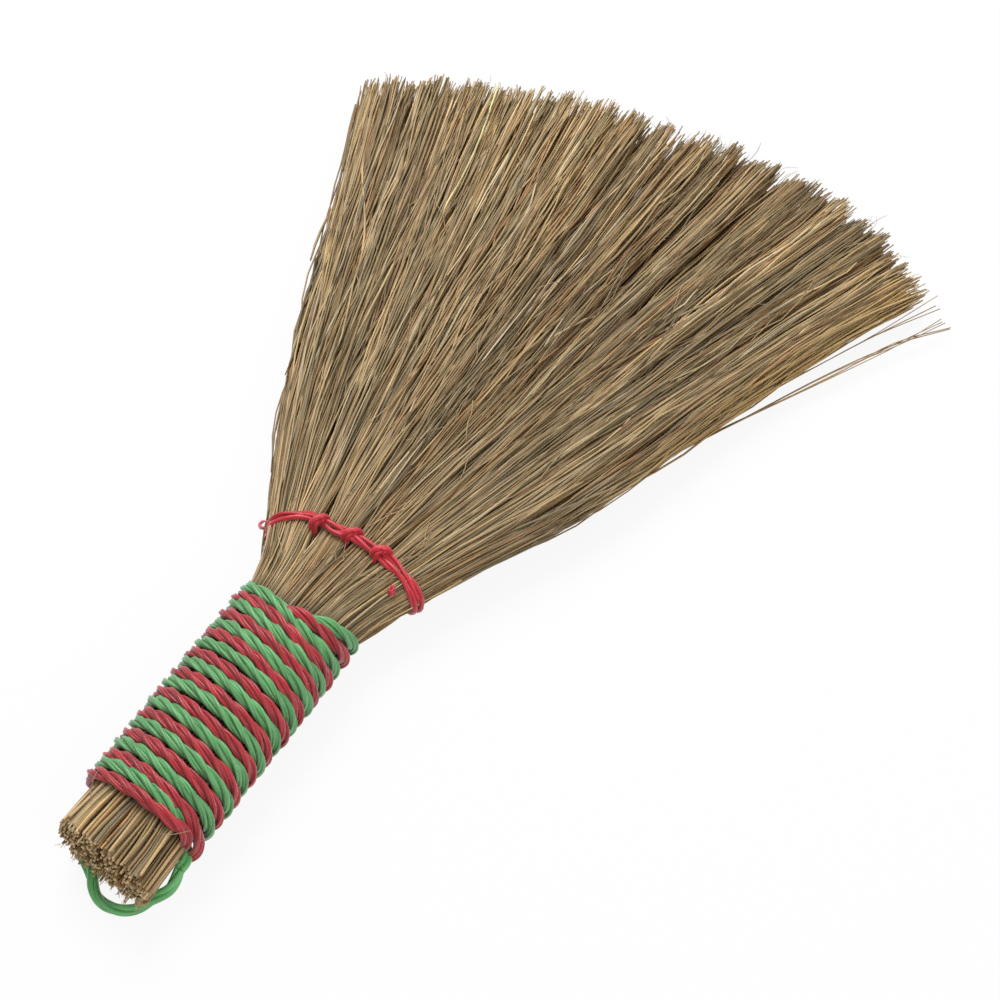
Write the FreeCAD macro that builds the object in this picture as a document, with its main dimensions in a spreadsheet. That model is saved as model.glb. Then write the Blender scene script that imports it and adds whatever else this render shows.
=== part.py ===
"""Hand broom: a flat bundle of straw in four tufts, bound at the grip and stitched across the fan.

The broom lies on its back. X runs across it, Y from the cut butt ends to the tips, Z up, and the
origin is below the middle of its length, on the surface that it lies on. Sizes are in millimetres
and degrees.
"""
import FreeCAD
import Part
import Sketcher

import math
import os

from FreeCAD import Vector

# Driving dimensions
SIZES = [
    ("butt_length", 22.0, "bare straw past the last turn of the grip"),
    ("butt_width", 37.0, "width across the cut butt ends"),
    ("butt_thickness", 21.0, "thickness at the cut butt ends"),
    ("butt_slant", 5.5, "left side of the cut butt ends ahead of their right side"),
    ("core_width", 35.0, "width of the straw inside the grip"),
    ("core_thickness", 20.0, "thickness of the straw inside the grip"),
    ("neck_length", 27.0, "first turn of the grip to the stitching"),
    ("fan_length", 226.0, "stitching to the longest tips"),
    ("fan_half_angle", 25.0, "side of the fan from its middle line"),
    ("left_bulge", 6.0, "left side of the fan past a straight line, where the fan is thickest"),
    ("right_draw", 8.0, "right side of the fan inside a straight line, from its shoulder on"),
    ("shoulder_distance", 125.0, "stitching to the shoulder of the right side"),
    ("tip_arc", 300.0, "radius of the line of the tips"),
    ("tip_lean", 35.0, "longest tips to the right of the middle line"),
    ("corner_reach", 40.0, "longest tips to the worn right corner"),
    ("corner_angle", 33.0, "worn right corner from straight across"),
    ("locks", 4.0, "locks of straw that show on a tuft"),
    ("lock_depth", 3.5, "valley between two locks at the tips"),
    ("stitch_thickness", 17.0, "straw at the stitching"),
    ("swell_thickness", 19.0, "straw where the fan is thickest"),
    ("swell_distance", 62.0, "stitching to the thickest place"),
    ("swell_lift", 2.0, "underside of the thickest place above the surface"),
    ("tip_thickness", 15.0, "straw at the tips"),
    ("rest_flat", 1.0, "depth that lying flattens the underside of the tips"),
    ("edge_roundness", 0.75, "radius of a side edge as a share of the half thickness"),
    ("split_angle", 10.5, "outer splits between the tufts from the middle line"),
    ("tuft_gap", 0.4, "space between neighbouring tufts"),
    ("slot_taper", 14.0, "length over which a slot at a tie closes"),
    ("cord_diameter", 3.8, "grip cord"),
    ("cord_gap", 0.4, "grip cord to the cord of the other colour"),
    ("cord_turns", 10.0, "turns of each grip cord"),
    ("front_share", 0.7, "share of a turn's advance that is on the front"),
    ("cord_clearance", 0.3, "grip cord to straw"),
    ("twine_diameter", 1.8, "stitching twine"),
    ("twine_gap", 0.6, "strand to strand of the stitching"),
    ("twine_turns", 2.0, "turns of the stitching round the fan"),
    ("twine_clearance", 0.3, "stitching twine to what it lies on"),
    ("tail_reach", 3.0, "bight of the stitching past the left side of the fan"),
    ("tail_length", 8.0, "tail of the stitching along the left side of the fan"),
    ("end_angle", 20.5, "cut end of the stitching from the middle line"),
    ("end_setback", 7.0, "cut end of the stitching below the stitch line"),
    ("end_proud", 2.2, "cut end of the stitching above the straw"),
    ("loop_diameter", 3.5, "cord of the hanging loop"),
    ("loop_standoff", 1.0, "hanging loop to straw at its pivot"),
    ("loop_pivot_reach", 5.5, "last turn of the grip to the pivot of the loop"),
    ("leg_length", 30.0, "loop cord held under the grip"),
    ("leg_angle", 40.0, "loop cord below the side of the grip"),
]

# Places that follow from the driving dimensions
LAYOUT = [
    ("cord_spacing", "Sizes.cord_diameter + Sizes.cord_gap"),
    ("twine_spacing", "Sizes.twine_diameter + Sizes.twine_gap"),
    ("pitch", "2 * cord_spacing"),
    ("front_advance", "pitch * Sizes.front_share"),
    ("back_advance", "pitch - front_advance"),
    ("wrap_length", "Sizes.cord_diameter + cord_spacing + pitch * (Sizes.cord_turns - 1)"
                    " + back_advance + front_advance / 2"),
    ("total_length", "Sizes.butt_length + wrap_length + Sizes.neck_length + Sizes.fan_length"),
    ("butt_y", "-total_length / 2"),
    ("wrap_end_y", "butt_y + Sizes.butt_length"),
    ("neck_y", "wrap_end_y + wrap_length"),
    ("stitch_y", "neck_y + Sizes.neck_length"),
    ("tip_y", "total_length / 2"),
    ("fan_slope", "tan(Sizes.fan_half_angle)"),
    ("apex_y", "neck_y - Sizes.core_width / 2 / fan_slope"),
    ("stitch_radius", "stitch_y - apex_y"),
    ("tip_radius", "tip_y - apex_y"),
    ("side_reach", "tip_radius * sin(Sizes.fan_half_angle + Sizes.split_angle)"),
    ("grip_z", "Sizes.core_thickness / 2 + Sizes.cord_clearance + Sizes.cord_diameter"),
    ("tie_rise", "2 * (Sizes.twine_clearance + Sizes.twine_diameter)"),
    ("stitch_z", "Sizes.stitch_thickness / 2 + tie_rise + Sizes.twine_clearance"),
    ("swell_z", "Sizes.swell_thickness / 2 + Sizes.swell_lift"),
    ("tip_z", "Sizes.tip_thickness / 2 - Sizes.rest_flat"),
    ("shoulder_share", "(Sizes.shoulder_distance - Sizes.swell_distance)"
                       " / (Sizes.fan_length - Sizes.swell_distance)"),
    ("shoulder_thickness", "Sizes.swell_thickness"
                           " + (Sizes.tip_thickness - Sizes.swell_thickness) * shoulder_share"),
    ("shoulder_z", "swell_z + (tip_z - swell_z) * shoulder_share"),
    ("shoulder_bulge", "Sizes.left_bulge * (1 - shoulder_share)"),
    ("shoulder_y", "stitch_y + Sizes.shoulder_distance"),
    ("tip_arc_y", "tip_y - Sizes.tip_arc"),
    ("corner_x", "Sizes.tip_lean + Sizes.corner_reach"),
    ("corner_y", "tip_arc_y + sqrt(Sizes.tip_arc ^ 2 - Sizes.corner_reach ^ 2)"),
    ("slot_width", "twine_spacing + Sizes.twine_diameter + 2 * Sizes.twine_clearance"),
    ("tie_half_length", "(Sizes.twine_turns - 0.5) / 2 * twine_spacing"
                        " + Sizes.twine_diameter + 2 * Sizes.twine_clearance"),
    ("slot_half_length", "tie_half_length + Sizes.twine_diameter / 2 + Sizes.twine_clearance"),
    ("slot_radius", "stitch_radius + twine_spacing / 4"),
    ("waist_low_y", "apex_y + (stitch_radius - slot_half_length) * cos(Sizes.fan_half_angle)"),
    ("waist_high_y", "stitch_y + slot_half_length"),
    ("swell_y", "stitch_y + Sizes.swell_distance"),
    ("valley_radius", "slot_radius + slot_half_length + Sizes.slot_taper"),
    ("pivot_y", "wrap_end_y - Sizes.loop_pivot_reach"),
    ("stack_height", "grip_z + Sizes.butt_thickness + Sizes.stitch_thickness + Sizes.swell_thickness"
                     " + Sizes.tip_thickness"),
]

# Stretch of the broom that each oval section of the straw stands at: place along Y, half width,
# place of its middle across, half thickness and height of its middle
STATIONS = [
    ("butt", "Layout.butt_y", "Sizes.butt_width / 2", "0", "Sizes.butt_thickness / 2",
     "Layout.grip_z"),
    ("grip_end", "Layout.wrap_end_y", "Sizes.core_width / 2", "0", "Sizes.core_thickness / 2",
     "Layout.grip_z"),
    ("neck", "Layout.neck_y", "Sizes.core_width / 2", "0", "Sizes.core_thickness / 2",
     "Layout.grip_z"),
    ("waist_low", "Layout.waist_low_y", "(Layout.waist_low_y - Layout.apex_y) * Layout.fan_slope",
     "0", "Sizes.stitch_thickness / 2", "Layout.stitch_z"),
    ("waist_high", "Layout.waist_high_y",
     "(Layout.waist_high_y - Layout.apex_y) * Layout.fan_slope",
     "0", "Sizes.stitch_thickness / 2", "Layout.stitch_z"),
    ("swell", "Layout.swell_y",
     "(Layout.swell_y - Layout.apex_y) * Layout.fan_slope + Sizes.left_bulge / 2",
     "-Sizes.left_bulge / 2", "Sizes.swell_thickness / 2", "Layout.swell_z"),
    ("shoulder", "Layout.shoulder_y",
     "(Layout.shoulder_y - Layout.apex_y) * Layout.fan_slope"
     " + (Layout.shoulder_bulge - Sizes.right_draw) / 2",
     "-(Layout.shoulder_bulge + Sizes.right_draw) / 2", "Layout.shoulder_thickness / 2",
     "Layout.shoulder_z"),
    ("tip", "Layout.tip_y", "Layout.tip_radius * Layout.fan_slope - Sizes.right_draw / 2",
     "-Sizes.right_draw / 2", "Sizes.tip_thickness / 2", "Layout.tip_z"),
]

# Route of the hanging loop from its left pivot to its right one, chosen by eye: across, along Y
# from the pivot, and height. The two pivots themselves come from the driving dimensions.
LOOP_ROUTE = [
    (-17.6, -4.6, 5.1),
    (-14.2, -8.2, 2.5),
    (-9.2, -10.2, 1.78),
    (-5.8, -12.9, 1.78),
    (-2.6, -16.4, 1.78),
    (2.0, -18.9, 1.78),
    (7.8, -19.0, 1.8),
    (12.2, -15.6, 1.85),
    (15.2, -9.8, 2.5),
    (18.6, -4.6, 5.0),
]

# Bight and tail of the stitching, chosen by eye: out from the fan's side and up as shares of the
# bight's reach, and along the side towards the grip as a share of the tail's length, in the order
# out, along, up
TAIL_SHARES = [
    (0.0, 0.0, 0.0),
    (0.6, 0.0, 0.0),
    (1.0, 0.28, 0.1),
    (0.6, 0.55, -0.15),
    (0.15, 0.75, -0.3),
    (0.0, 1.0, -0.5),
]

# Least gap between stretches of one wound cord
LEAST_SELF_GAP = 0.4
# Share of the shorter run beside a corner that its arc takes
ROUND_SHARE = 0.45
# Step from one station of a winding to the next
QUARTER_TURN = 0.25
# How far past the tips a valley's wedge runs, as a share of its length
VALLEY_OVERRUN = 1.1
# Share of a lock's half width that a valley's wedge is wide to one side
VALLEY_SHARE = 0.95

doc = FreeCAD.newDocument("HandBroom")


def make_sheets():
    """Put the driving dimensions in one sheet and what follows from them in another."""
    sizes_sheet = doc.addObject("Spreadsheet::Sheet", "Sizes")
    for row, (alias, value, meaning) in enumerate(SIZES, start=1):
        sizes_sheet.set(f"A{row}", meaning)
        sizes_sheet.set(f"B{row}", str(value))
        sizes_sheet.setAlias(f"B{row}", alias)
    layout_sheet = doc.addObject("Spreadsheet::Sheet", "Layout")
    for row, (alias, formula) in enumerate(LAYOUT, start=1):
        layout_sheet.setAlias(f"B{row}", alias)
        layout_sheet.set(f"A{row}", alias)
        layout_sheet.set(f"B{row}", "=" + formula)
    doc.recompute()
    return sizes_sheet, layout_sheet


sizes, layout = make_sheets()


def origin_plane(body, role):
    """Return one of a body's own origin planes."""
    return next(f for f in body.Origin.OriginFeatures if f.Role == role)


def bind(sketch, constraint, formula):
    """Add a constraint whose value follows a formula."""
    index = sketch.addConstraint(constraint)
    sketch.setExpression(f"Constraints[{index}]", formula)


def evaluate(formula):
    """Return the value of a formula of sheet cells."""
    return float(sizes.evalExpression(formula))


def oval_parts(half_width, half_height, end_radius):
    """Return the flat side's radius and half turn of an oval of four tangent arcs."""
    run = half_width - end_radius
    rise = half_height - end_radius
    side_radius = (run * run + half_height ** 2 - end_radius ** 2) / (2 * rise)
    half_turn = math.atan2(run, side_radius - half_height)
    return side_radius, half_turn


def oval_sketch(body, name, along, half_width, across, half_height, middle):
    """Draw an oval of four tangent arcs across the broom."""
    sketch = body.newObject("Sketcher::SketchObject", name)
    sketch.AttachmentSupport = (origin_plane(body, "XZ_Plane"), [""])
    sketch.MapMode = "FlatFace"
    sketch.setExpression(".AttachmentOffset.Base.z", f"-({along})")
    width, height, level = evaluate(half_width), evaluate(half_height), evaluate(middle)
    over = evaluate(across)
    end = sizes.edge_roundness * height
    side, turn = oval_parts(width, height, end)
    end_text = f"(Sizes.edge_roundness * ({half_height}))"
    run_text = f"(({half_width}) - {end_text})"
    side_text = (f"(({run_text}^2 + ({half_height})^2 - {end_text}^2)"
                 f" / (2 * (({half_height}) - {end_text})))")
    quarter = math.pi / 2
    arcs = [
        (Vector(over, level + height - side, 0), side, quarter - turn, quarter + turn),
        (Vector(over + end - width, level, 0), end, quarter + turn, 3 * quarter - turn),
        (Vector(over, level - height + side, 0), side, 3 * quarter - turn, 3 * quarter + turn),
        (Vector(over + width - end, level, 0), end, turn - quarter, quarter - turn),
    ]
    for centre, radius, start, stop in arcs:
        circle = Part.Circle(centre, Vector(0, 0, 1), radius)
        sketch.addGeometry(Part.ArcOfCircle(circle, start, stop), False)
    for index in range(4):
        sketch.addConstraint(Sketcher.Constraint("Tangent", index, 2, (index + 1) % 4, 1))
    bind(sketch, Sketcher.Constraint("DistanceX", 1, 3, -1, 1, width - end - over),
         f"{run_text} - ({across})")
    bind(sketch, Sketcher.Constraint("DistanceX", -1, 1, 3, 3, width - end + over),
         f"{run_text} + ({across})")
    bind(sketch, Sketcher.Constraint("DistanceY", -1, 1, 1, 3, level), middle)
    bind(sketch, Sketcher.Constraint("DistanceY", -1, 1, 3, 3, level), middle)
    bind(sketch, Sketcher.Constraint("Radius", 1, end), end_text)
    bind(sketch, Sketcher.Constraint("Radius", 3, end), end_text)
    bind(sketch, Sketcher.Constraint("Radius", 0, side), side_text)
    bind(sketch, Sketcher.Constraint("Radius", 2, side), side_text)
    return sketch


def straw_bundle():
    """Loft the whole bundle of straw, before it is parted into tufts."""
    body = doc.addObject("PartDesign::Body", "StrawBundle")
    sketches = [oval_sketch(body, f"Section_{station[0]}", *station[1:]) for station in STATIONS]
    doc.recompute()
    loft = body.newObject("PartDesign::AdditiveLoft", "StrawLoft")
    loft.Profile = (sketches[0], [""])
    loft.Sections = [(sketch, [""]) for sketch in sketches[1:]]
    loft.Ruled = True
    doc.recompute()
    return body


def butt_end(across):
    """Return the point of the slanting butt end at a place across."""
    return across, f"Layout.butt_y + Sizes.butt_slant * (0.5 - ({across}) / Sizes.butt_width)"


def split_points(angle, side):
    """Return one side of a split between two tufts, from the butt ends to the tips.

    The split is straight through the grip, then runs out from the fan's apex, and opens to a slot
    where a tie passes through. A point is a pair of formulas.
    """
    gap = f"{side} * Sizes.tuft_gap / 2"
    slot = f"{side} * Layout.slot_width / 2"
    grip_x = f"(Layout.neck_y - Layout.apex_y) * tan({angle}) + {gap}"
    low = "Layout.slot_radius - Layout.slot_half_length"
    high = "Layout.slot_radius + Layout.slot_half_length"

    def on_ray(radius, offset):
        return f"({radius}) * sin({angle}) + {offset}", f"Layout.apex_y + ({radius}) * cos({angle})"

    return [
        butt_end(grip_x),
        (grip_x, "Layout.neck_y"),
        on_ray(f"{low} - Sizes.slot_taper / 2", gap),
        on_ray(low, slot),
        on_ray(high, slot),
        on_ray(f"{high} + Sizes.slot_taper", gap),
        on_ray("Layout.tip_radius", gap),
    ]


def left_points():
    """Return a line well outside the left side of the broom, from the butt ends to the tips."""
    reach = "-Layout.side_reach"
    return [butt_end(reach), (reach, "Layout.apex_y")]


def right_points():
    """Return a line well outside the right side of the broom, with the worn corner of the tips."""
    reach = "Layout.side_reach"
    drop = "(Layout.side_reach - Layout.corner_x) * tan(Sizes.corner_angle)"
    return [butt_end(reach), (reach, f"Layout.corner_y - {drop}"), ("Layout.corner_x", "Layout.corner_y")]


def plan_body(name, left, right):
    """Pad the plan of one tuft between its left and right sides, with tips on an arc."""
    body = doc.addObject("PartDesign::Body", name)
    sketch = body.newObject("Sketcher::SketchObject", name + "Plan")
    sketch.AttachmentSupport = (origin_plane(body, "XY_Plane"), [""])
    sketch.MapMode = "FlatFace"
    outline = left[::-1] + right
    places = [Vector(evaluate(x), evaluate(y), 0) for x, y in outline]
    centre = Vector(sizes.tip_lean, layout.tip_arc_y, 0)
    for end in (0, -1):
        places[end].y = centre.y + math.sqrt(sizes.tip_arc ** 2 - (places[end].x - centre.x) ** 2)
    for start, stop in zip(places, places[1:]):
        sketch.addGeometry(Part.LineSegment(start, stop), False)
    arc = len(places) - 1
    start, stop = [math.atan2(p.y - centre.y, p.x - centre.x) for p in (places[-1], places[0])]
    circle = Part.Circle(centre, Vector(0, 0, 1), sizes.tip_arc)
    sketch.addGeometry(Part.ArcOfCircle(circle, start, stop), False)
    for index in range(arc):
        sketch.addConstraint(Sketcher.Constraint("Coincident", index, 2, index + 1, 1))
    sketch.addConstraint(Sketcher.Constraint("Coincident", arc, 2, 0, 1))
    bind(sketch, Sketcher.Constraint("DistanceX", -1, 1, arc, 3, centre.x), "Sizes.tip_lean")
    bind(sketch, Sketcher.Constraint("DistanceY", -1, 1, arc, 3, centre.y), "Layout.tip_arc_y")
    bind(sketch, Sketcher.Constraint("Radius", arc, sizes.tip_arc), "Sizes.tip_arc")
    for index, (x_text, y_text) in enumerate(outline):
        corner = (index, 1) if index < arc else (index - 1, 2)
        place = places[index]
        bind(sketch, Sketcher.Constraint("DistanceX", -1, 1, *corner, place.x), x_text)
        if 0 < index < arc:
            bind(sketch, Sketcher.Constraint("DistanceY", -1, 1, *corner, place.y), y_text)
    doc.recompute()
    pad = body.newObject("PartDesign::Pad", name + "Pad")
    pad.Profile = (sketch, [""])
    pad.setExpression("Length", "Layout.stack_height")
    doc.recompute()
    return body


def feature(name, shape):
    """Add a shape worked out here to the document."""
    added = doc.addObject("Part::Feature", name)
    added.Shape = shape
    added.Placement = FreeCAD.Placement()
    return added


def boolean(kind, name, base, tool):
    """Add a common or a cut of two objects."""
    added = doc.addObject("Part::" + kind, name)
    added.Base = base
    added.Tool = tool
    return added


def tangent_arc(start, corner, stop):
    """Return the arc that leaves start towards a corner and reaches stop from it."""
    middle = (start + stop) * 0.5
    half_chord = (stop - start).Length / 2
    half_turn = math.acos(half_chord / (corner - start).Length)
    outward = corner - middle
    lift = half_chord * math.tan(half_turn / 2)
    return Part.Arc(start, middle + outward * (lift / outward.Length), stop).toShape()


def biarc(start, start_way, stop, stop_way, ratio):
    """Return two tangent arcs, the second with ratio times the first one's tangent length."""
    chord = stop - start
    along = chord.dot(start_way + stop_way * ratio)
    bend = 2 * ratio * (1 - start_way.dot(stop_way))
    reach = (math.sqrt(along * along + bend * chord.dot(chord)) - along) / bend
    first = start + start_way * reach
    second = stop - stop_way * (reach * ratio)
    meet = first + (second - first) * (1 / (1 + ratio))
    return [tangent_arc(start, first, meet), tangent_arc(meet, second, stop)]


def straight(start, stop):
    """Return a straight edge."""
    return Part.LineSegment(start, stop).toShape()


def tube(edges, diameter):
    """Sweep a round cord along a path and compare its volume with section times length."""
    path = Part.Wire(edges)
    first = edges[0]
    ring = Part.makeCircle(diameter / 2, first.valueAt(first.FirstParameter),
                           first.tangentAt(first.FirstParameter))
    solid = path.makePipeShell([Part.Wire([ring])], True, False)
    ideal = math.pi * diameter ** 2 / 4 * path.Length
    if solid.Volume < 0:
        solid.reverse()
    print(f"  tube length {path.Length:.1f}, volume {solid.Volume / ideal:.4f} of section times length")
    return solid


def least_self_gap(edges, diameter):
    """Return the least gap between stretches of one path that are not next to each other."""
    samples = []
    walked = 0.0
    for edge in edges:
        count = max(3, int(edge.Length / diameter * 2))
        for point in edge.discretize(count)[:-1]:
            if samples:
                walked += (point - samples[-1][1]).Length
            samples.append((walked, point))
    apart = 4 * diameter
    nearest = math.inf
    for index, (here, point) in enumerate(samples):
        for there, other in samples[index + 1:]:
            if there - here > apart:
                nearest = min(nearest, (other - point).Length)
    return nearest - diameter


def wound_cord(name, stations, ratios, diameter):
    """Wind one unbroken cord through quarter-turn stations, with straight ends."""
    first, first_way = stations[0]
    last, last_way = stations[-1]
    edges = [straight(first - first_way * diameter, first)]
    for index, (start, start_way) in enumerate(stations[:-1]):
        stop, stop_way = stations[index + 1]
        edges += biarc(start, start_way, stop, stop_way, ratios[index % 2])
    edges.append(straight(last, last + last_way * diameter))
    gap = least_self_gap(edges, diameter)
    print(f"{name}: least gap to itself {gap:.2f}")
    if gap <= LEAST_SELF_GAP:
        raise ValueError(f"{name} touches itself")
    return edges, tube(edges, diameter)


def oval_ratio(half_width, half_height, end_radius):
    """Return the tangent length of an oval's end arc over that of its side arc, in a quarter."""
    side_radius, half_turn = oval_parts(half_width, half_height, end_radius)
    end_length = end_radius * math.tan((math.pi / 2 - half_turn) / 2)
    return end_length / (side_radius * math.tan(half_turn / 2))


def grip_stations(start_y):
    """Return the quarter-turn stations of one grip cord, from the neck towards the butt ends."""
    offset = sizes.cord_clearance + sizes.cord_diameter / 2
    half_width = sizes.core_width / 2 + offset
    half_height = sizes.core_thickness / 2 + offset
    quarter = math.pi * (half_width + half_height) / 4
    front = layout.front_advance / 2
    back = layout.back_advance / 2
    mean = (front + back) / 2
    corners = [
        (Vector(half_width, 0, 0), Vector(0, -mean / quarter, -1), back),
        (Vector(0, 0, -half_height), Vector(-1, -back / quarter, 0), back),
        (Vector(-half_width, 0, 0), Vector(0, -mean / quarter, 1), front),
        (Vector(0, 0, half_height), Vector(1, -front / quarter, 0), front),
    ]
    stations = []
    along = start_y
    for index in range(4 * int(round(sizes.cord_turns))):
        corner, way, advance = corners[index % 4]
        stations.append((corner + Vector(0, along, layout.grip_z), way * (1 / way.Length)))
        along -= advance
    return stations


def grip_cord(name, order):
    """Wind one of the two grip cords, which lie side by side."""
    end_radius = sizes.edge_roundness * sizes.core_thickness / 2
    offset = sizes.cord_clearance + sizes.cord_diameter / 2
    ratio = oval_ratio(sizes.core_width / 2 + offset, sizes.core_thickness / 2 + offset,
                       end_radius + offset)
    start_y = layout.neck_y - sizes.cord_diameter / 2 - order * layout.cord_spacing
    _, solid = wound_cord(name, grip_stations(start_y), (1 / ratio, ratio), sizes.cord_diameter)
    return feature(name, solid)


def fan_axes(angle):
    """Return the directions out along and across the fan at an angle from its middle line."""
    turn = math.radians(angle)
    outward = Vector(math.sin(turn), math.cos(turn), 0)
    across = Vector(math.cos(turn), -math.sin(turn), 0)
    return outward, across


def fan_point(radius, angle, height):
    """Return a point at a radius from the fan's apex."""
    return Vector(0, layout.apex_y, height) + fan_axes(angle)[0] * radius


def valley(angle, face, half_lock):
    """Return the wedge that parts two locks of straw on the front (1) or the back (-1) of the fan."""
    across = fan_axes(angle)[1]
    if face > 0:
        heights = (layout.stitch_z + sizes.stitch_thickness / 2,
                   layout.tip_z + sizes.tip_thickness / 2 - sizes.lock_depth)
    else:
        heights = (layout.stitch_z - sizes.stitch_thickness / 2, sizes.lock_depth)
    near = fan_point(layout.valley_radius, angle, heights[0])
    far = near + (fan_point(layout.tip_radius, angle, heights[1]) - near) * VALLEY_OVERRUN
    ends = []
    for low in (near, far):
        radius = math.hypot(low.x, low.y - layout.apex_y)
        side = radius * math.radians(half_lock) * VALLEY_SHARE
        rise = Vector(0, 0, face * side)
        ends.append(Part.makePolygon([low, low + rise + across * side, low + rise - across * side, low]))
    wedge = Part.makeLoft(ends, True, True)
    if wedge.Volume < 0:
        wedge.reverse()
    return wedge


def valleys(low, high, face):
    """Return the wedges on one face of a tuft, at its splits and between its locks."""
    count = int(round(sizes.locks))
    step = (high - low) / count
    angles = [low + step * index for index in range(count + 1)]
    return Part.makeCompound([valley(angle, face, step / 2) for angle in angles
                              if abs(angle) < sizes.fan_half_angle])


def side_point(radius, side, offset):
    """Return a point beside the fan's left or right side, at the height of the stitching."""
    angle = side * sizes.fan_half_angle
    across = fan_axes(angle)[1]
    return fan_point(radius, angle, layout.stitch_z) + across * (side * offset)


def stitch_lashing():
    """Wind the stitching twine round the whole fan, from its left side."""
    offset = sizes.twine_clearance + sizes.twine_diameter / 2
    half_height = sizes.stitch_thickness / 2 + offset
    turns = int(round(sizes.twine_turns))
    lift = Vector(0, 0, half_height)
    stations = []
    for index in range(4 * turns + 1):
        step = (index - 1) * QUARTER_TURN - (turns - 1) / 2
        radius = layout.stitch_radius + step * layout.twine_spacing
        middle = fan_point(radius, 0, layout.stitch_z)
        corners = [
            (side_point(radius, -1, offset), Vector(0, 0, 1)),
            (middle + lift, Vector(1, 0, 0)),
            (side_point(radius, 1, offset), Vector(0, 0, -1)),
            (middle - lift, Vector(-1, 0, 0)),
        ]
        stations.append(corners[index % 4])
    half_width = (stations[2][0] - stations[1][0]).x
    end_radius = sizes.edge_roundness * sizes.stitch_thickness / 2 + offset
    ratio = oval_ratio(half_width, half_height, end_radius)
    return wound_cord("stitch_lashing", stations, (1 / ratio, ratio), sizes.twine_diameter)


def rounded_route(points, radius=None):
    """Join straight runs by tangent arcs, of one radius or each as large as its runs allow."""
    edges = []
    radii = []
    here = points[0]
    for before, corner, after in zip(points, points[1:], points[2:]):
        arrive = (corner - before) * (1 / (corner - before).Length)
        leave = (after - corner) * (1 / (after - corner).Length)
        half_turn = math.acos(max(-1.0, min(1.0, arrive.dot(leave)))) / 2
        shorter = min((corner - before).Length, (after - corner).Length)
        reach = radius * math.tan(half_turn) if radius else ROUND_SHARE * shorter
        start = corner - arrive * reach
        stop = corner + leave * reach
        edges.append(straight(here, start))
        edges.append(tangent_arc(start, corner, stop))
        radii.append(reach / math.tan(half_turn))
        here = stop
    edges.append(straight(here, points[-1]))
    return edges, radii


def stitch_tie(name, angle, lashing):
    """Tie the front and back strands together through the slot between two tufts."""
    outward, across = fan_axes(angle)
    centre = fan_point(layout.slot_radius, angle, 0)
    strand_heights = []
    for edge in lashing:
        for point in edge.discretize(24):
            if abs((point - centre).dot(across)) < layout.slot_width / 2:
                strand_heights.append(point.z)
    rise = sizes.twine_diameter + sizes.twine_clearance
    high = max(strand_heights) + rise
    low = min(strand_heights) - rise
    reach = layout.tie_half_length
    first = -layout.twine_spacing / 2
    second = layout.twine_spacing / 2
    corners = [
        (0, first, low),
        (reach, first, low),
        (reach, first, high),
        (-reach, first, high),
        (-reach, second, low),
        (reach, second, low),
        (reach, second, high),
        (-sizes.twine_diameter, second, high),
    ]
    points = [centre + outward * out + across * over + Vector(0, 0, up) for out, over, up in corners]
    edges, _ = rounded_route(points, sizes.twine_diameter)
    print(f"{name}: least gap to itself {least_self_gap(edges, sizes.twine_diameter):.2f}")
    return feature(name, tube(edges, sizes.twine_diameter))


def stitch_tail():
    """Bend the bight and the tail that stand out at the left end of the stitching."""
    outward, across = fan_axes(-sizes.fan_half_angle)
    seat = 2 * sizes.twine_clearance + sizes.twine_diameter
    last_turn = (sizes.twine_turns - 1) / 2 - QUARTER_TURN
    start = side_point(layout.stitch_radius + last_turn * layout.twine_spacing, -1, seat)
    points = []
    for over, along, up in TAIL_SHARES:
        beside = across * (-over * sizes.tail_reach) + outward * (-along * sizes.tail_length)
        points.append(start + beside + Vector(0, 0, up * sizes.tail_reach))
    edges, radii = rounded_route(points)
    print("stitch_tail: radii", [round(radius, 1) for radius in radii])
    return feature("stitch_tail", tube(edges, sizes.twine_diameter))


def column_through(shape, foot):
    """Return the lowest and highest height of a shape on a vertical line."""
    line = Part.makeLine(Vector(foot.x, foot.y, -layout.stack_height),
                         Vector(foot.x, foot.y, layout.stack_height))
    box = shape.common(line).BoundBox
    return box.ZMin, box.ZMax


def post(foot, bottom, top, diameter):
    """Return an upright round post."""
    return Part.makeCylinder(diameter / 2, top - bottom, Vector(foot.x, foot.y, bottom))


def leg_places(side):
    """Return where one leg of the loop lies under the grip and where the loop pivots beside it."""
    end_radius = sizes.edge_roundness * sizes.core_thickness / 2
    turn = math.radians(sizes.leg_angle)
    half = sizes.loop_diameter / 2

    def around(radius, along):
        across = side * (sizes.core_width / 2 - end_radius + radius * math.cos(turn))
        return Vector(across, along, layout.grip_z - radius * math.sin(turn))

    inner = around(end_radius - half, layout.wrap_end_y + sizes.leg_length)
    mouth = around(end_radius - half, layout.wrap_end_y + half / 2)
    pivot = around(end_radius + sizes.loop_standoff + half, layout.pivot_y)
    return inner, mouth, pivot


def loop_leg(name, side):
    """Lay one leg of the loop under the grip, and the channel that it presses into the straw."""
    inner, mouth, pivot = leg_places(side)
    way = (pivot - mouth) * (1 / (pivot - mouth).Length)
    gap = sizes.cord_clearance
    end = pivot - way * (sizes.loop_diameter / 2 + gap)
    edges, radii = rounded_route([inner, mouth, end])
    print(f"{name}: radii", [round(radius, 1) for radius in radii])
    leg = feature(name, tube(edges, sizes.loop_diameter))
    wide, _ = rounded_route([inner + Vector(0, gap, 0), mouth, pivot])
    channel = feature(name + "_channel", tube(wide, sizes.loop_diameter + 2 * gap))
    return leg, channel


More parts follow.
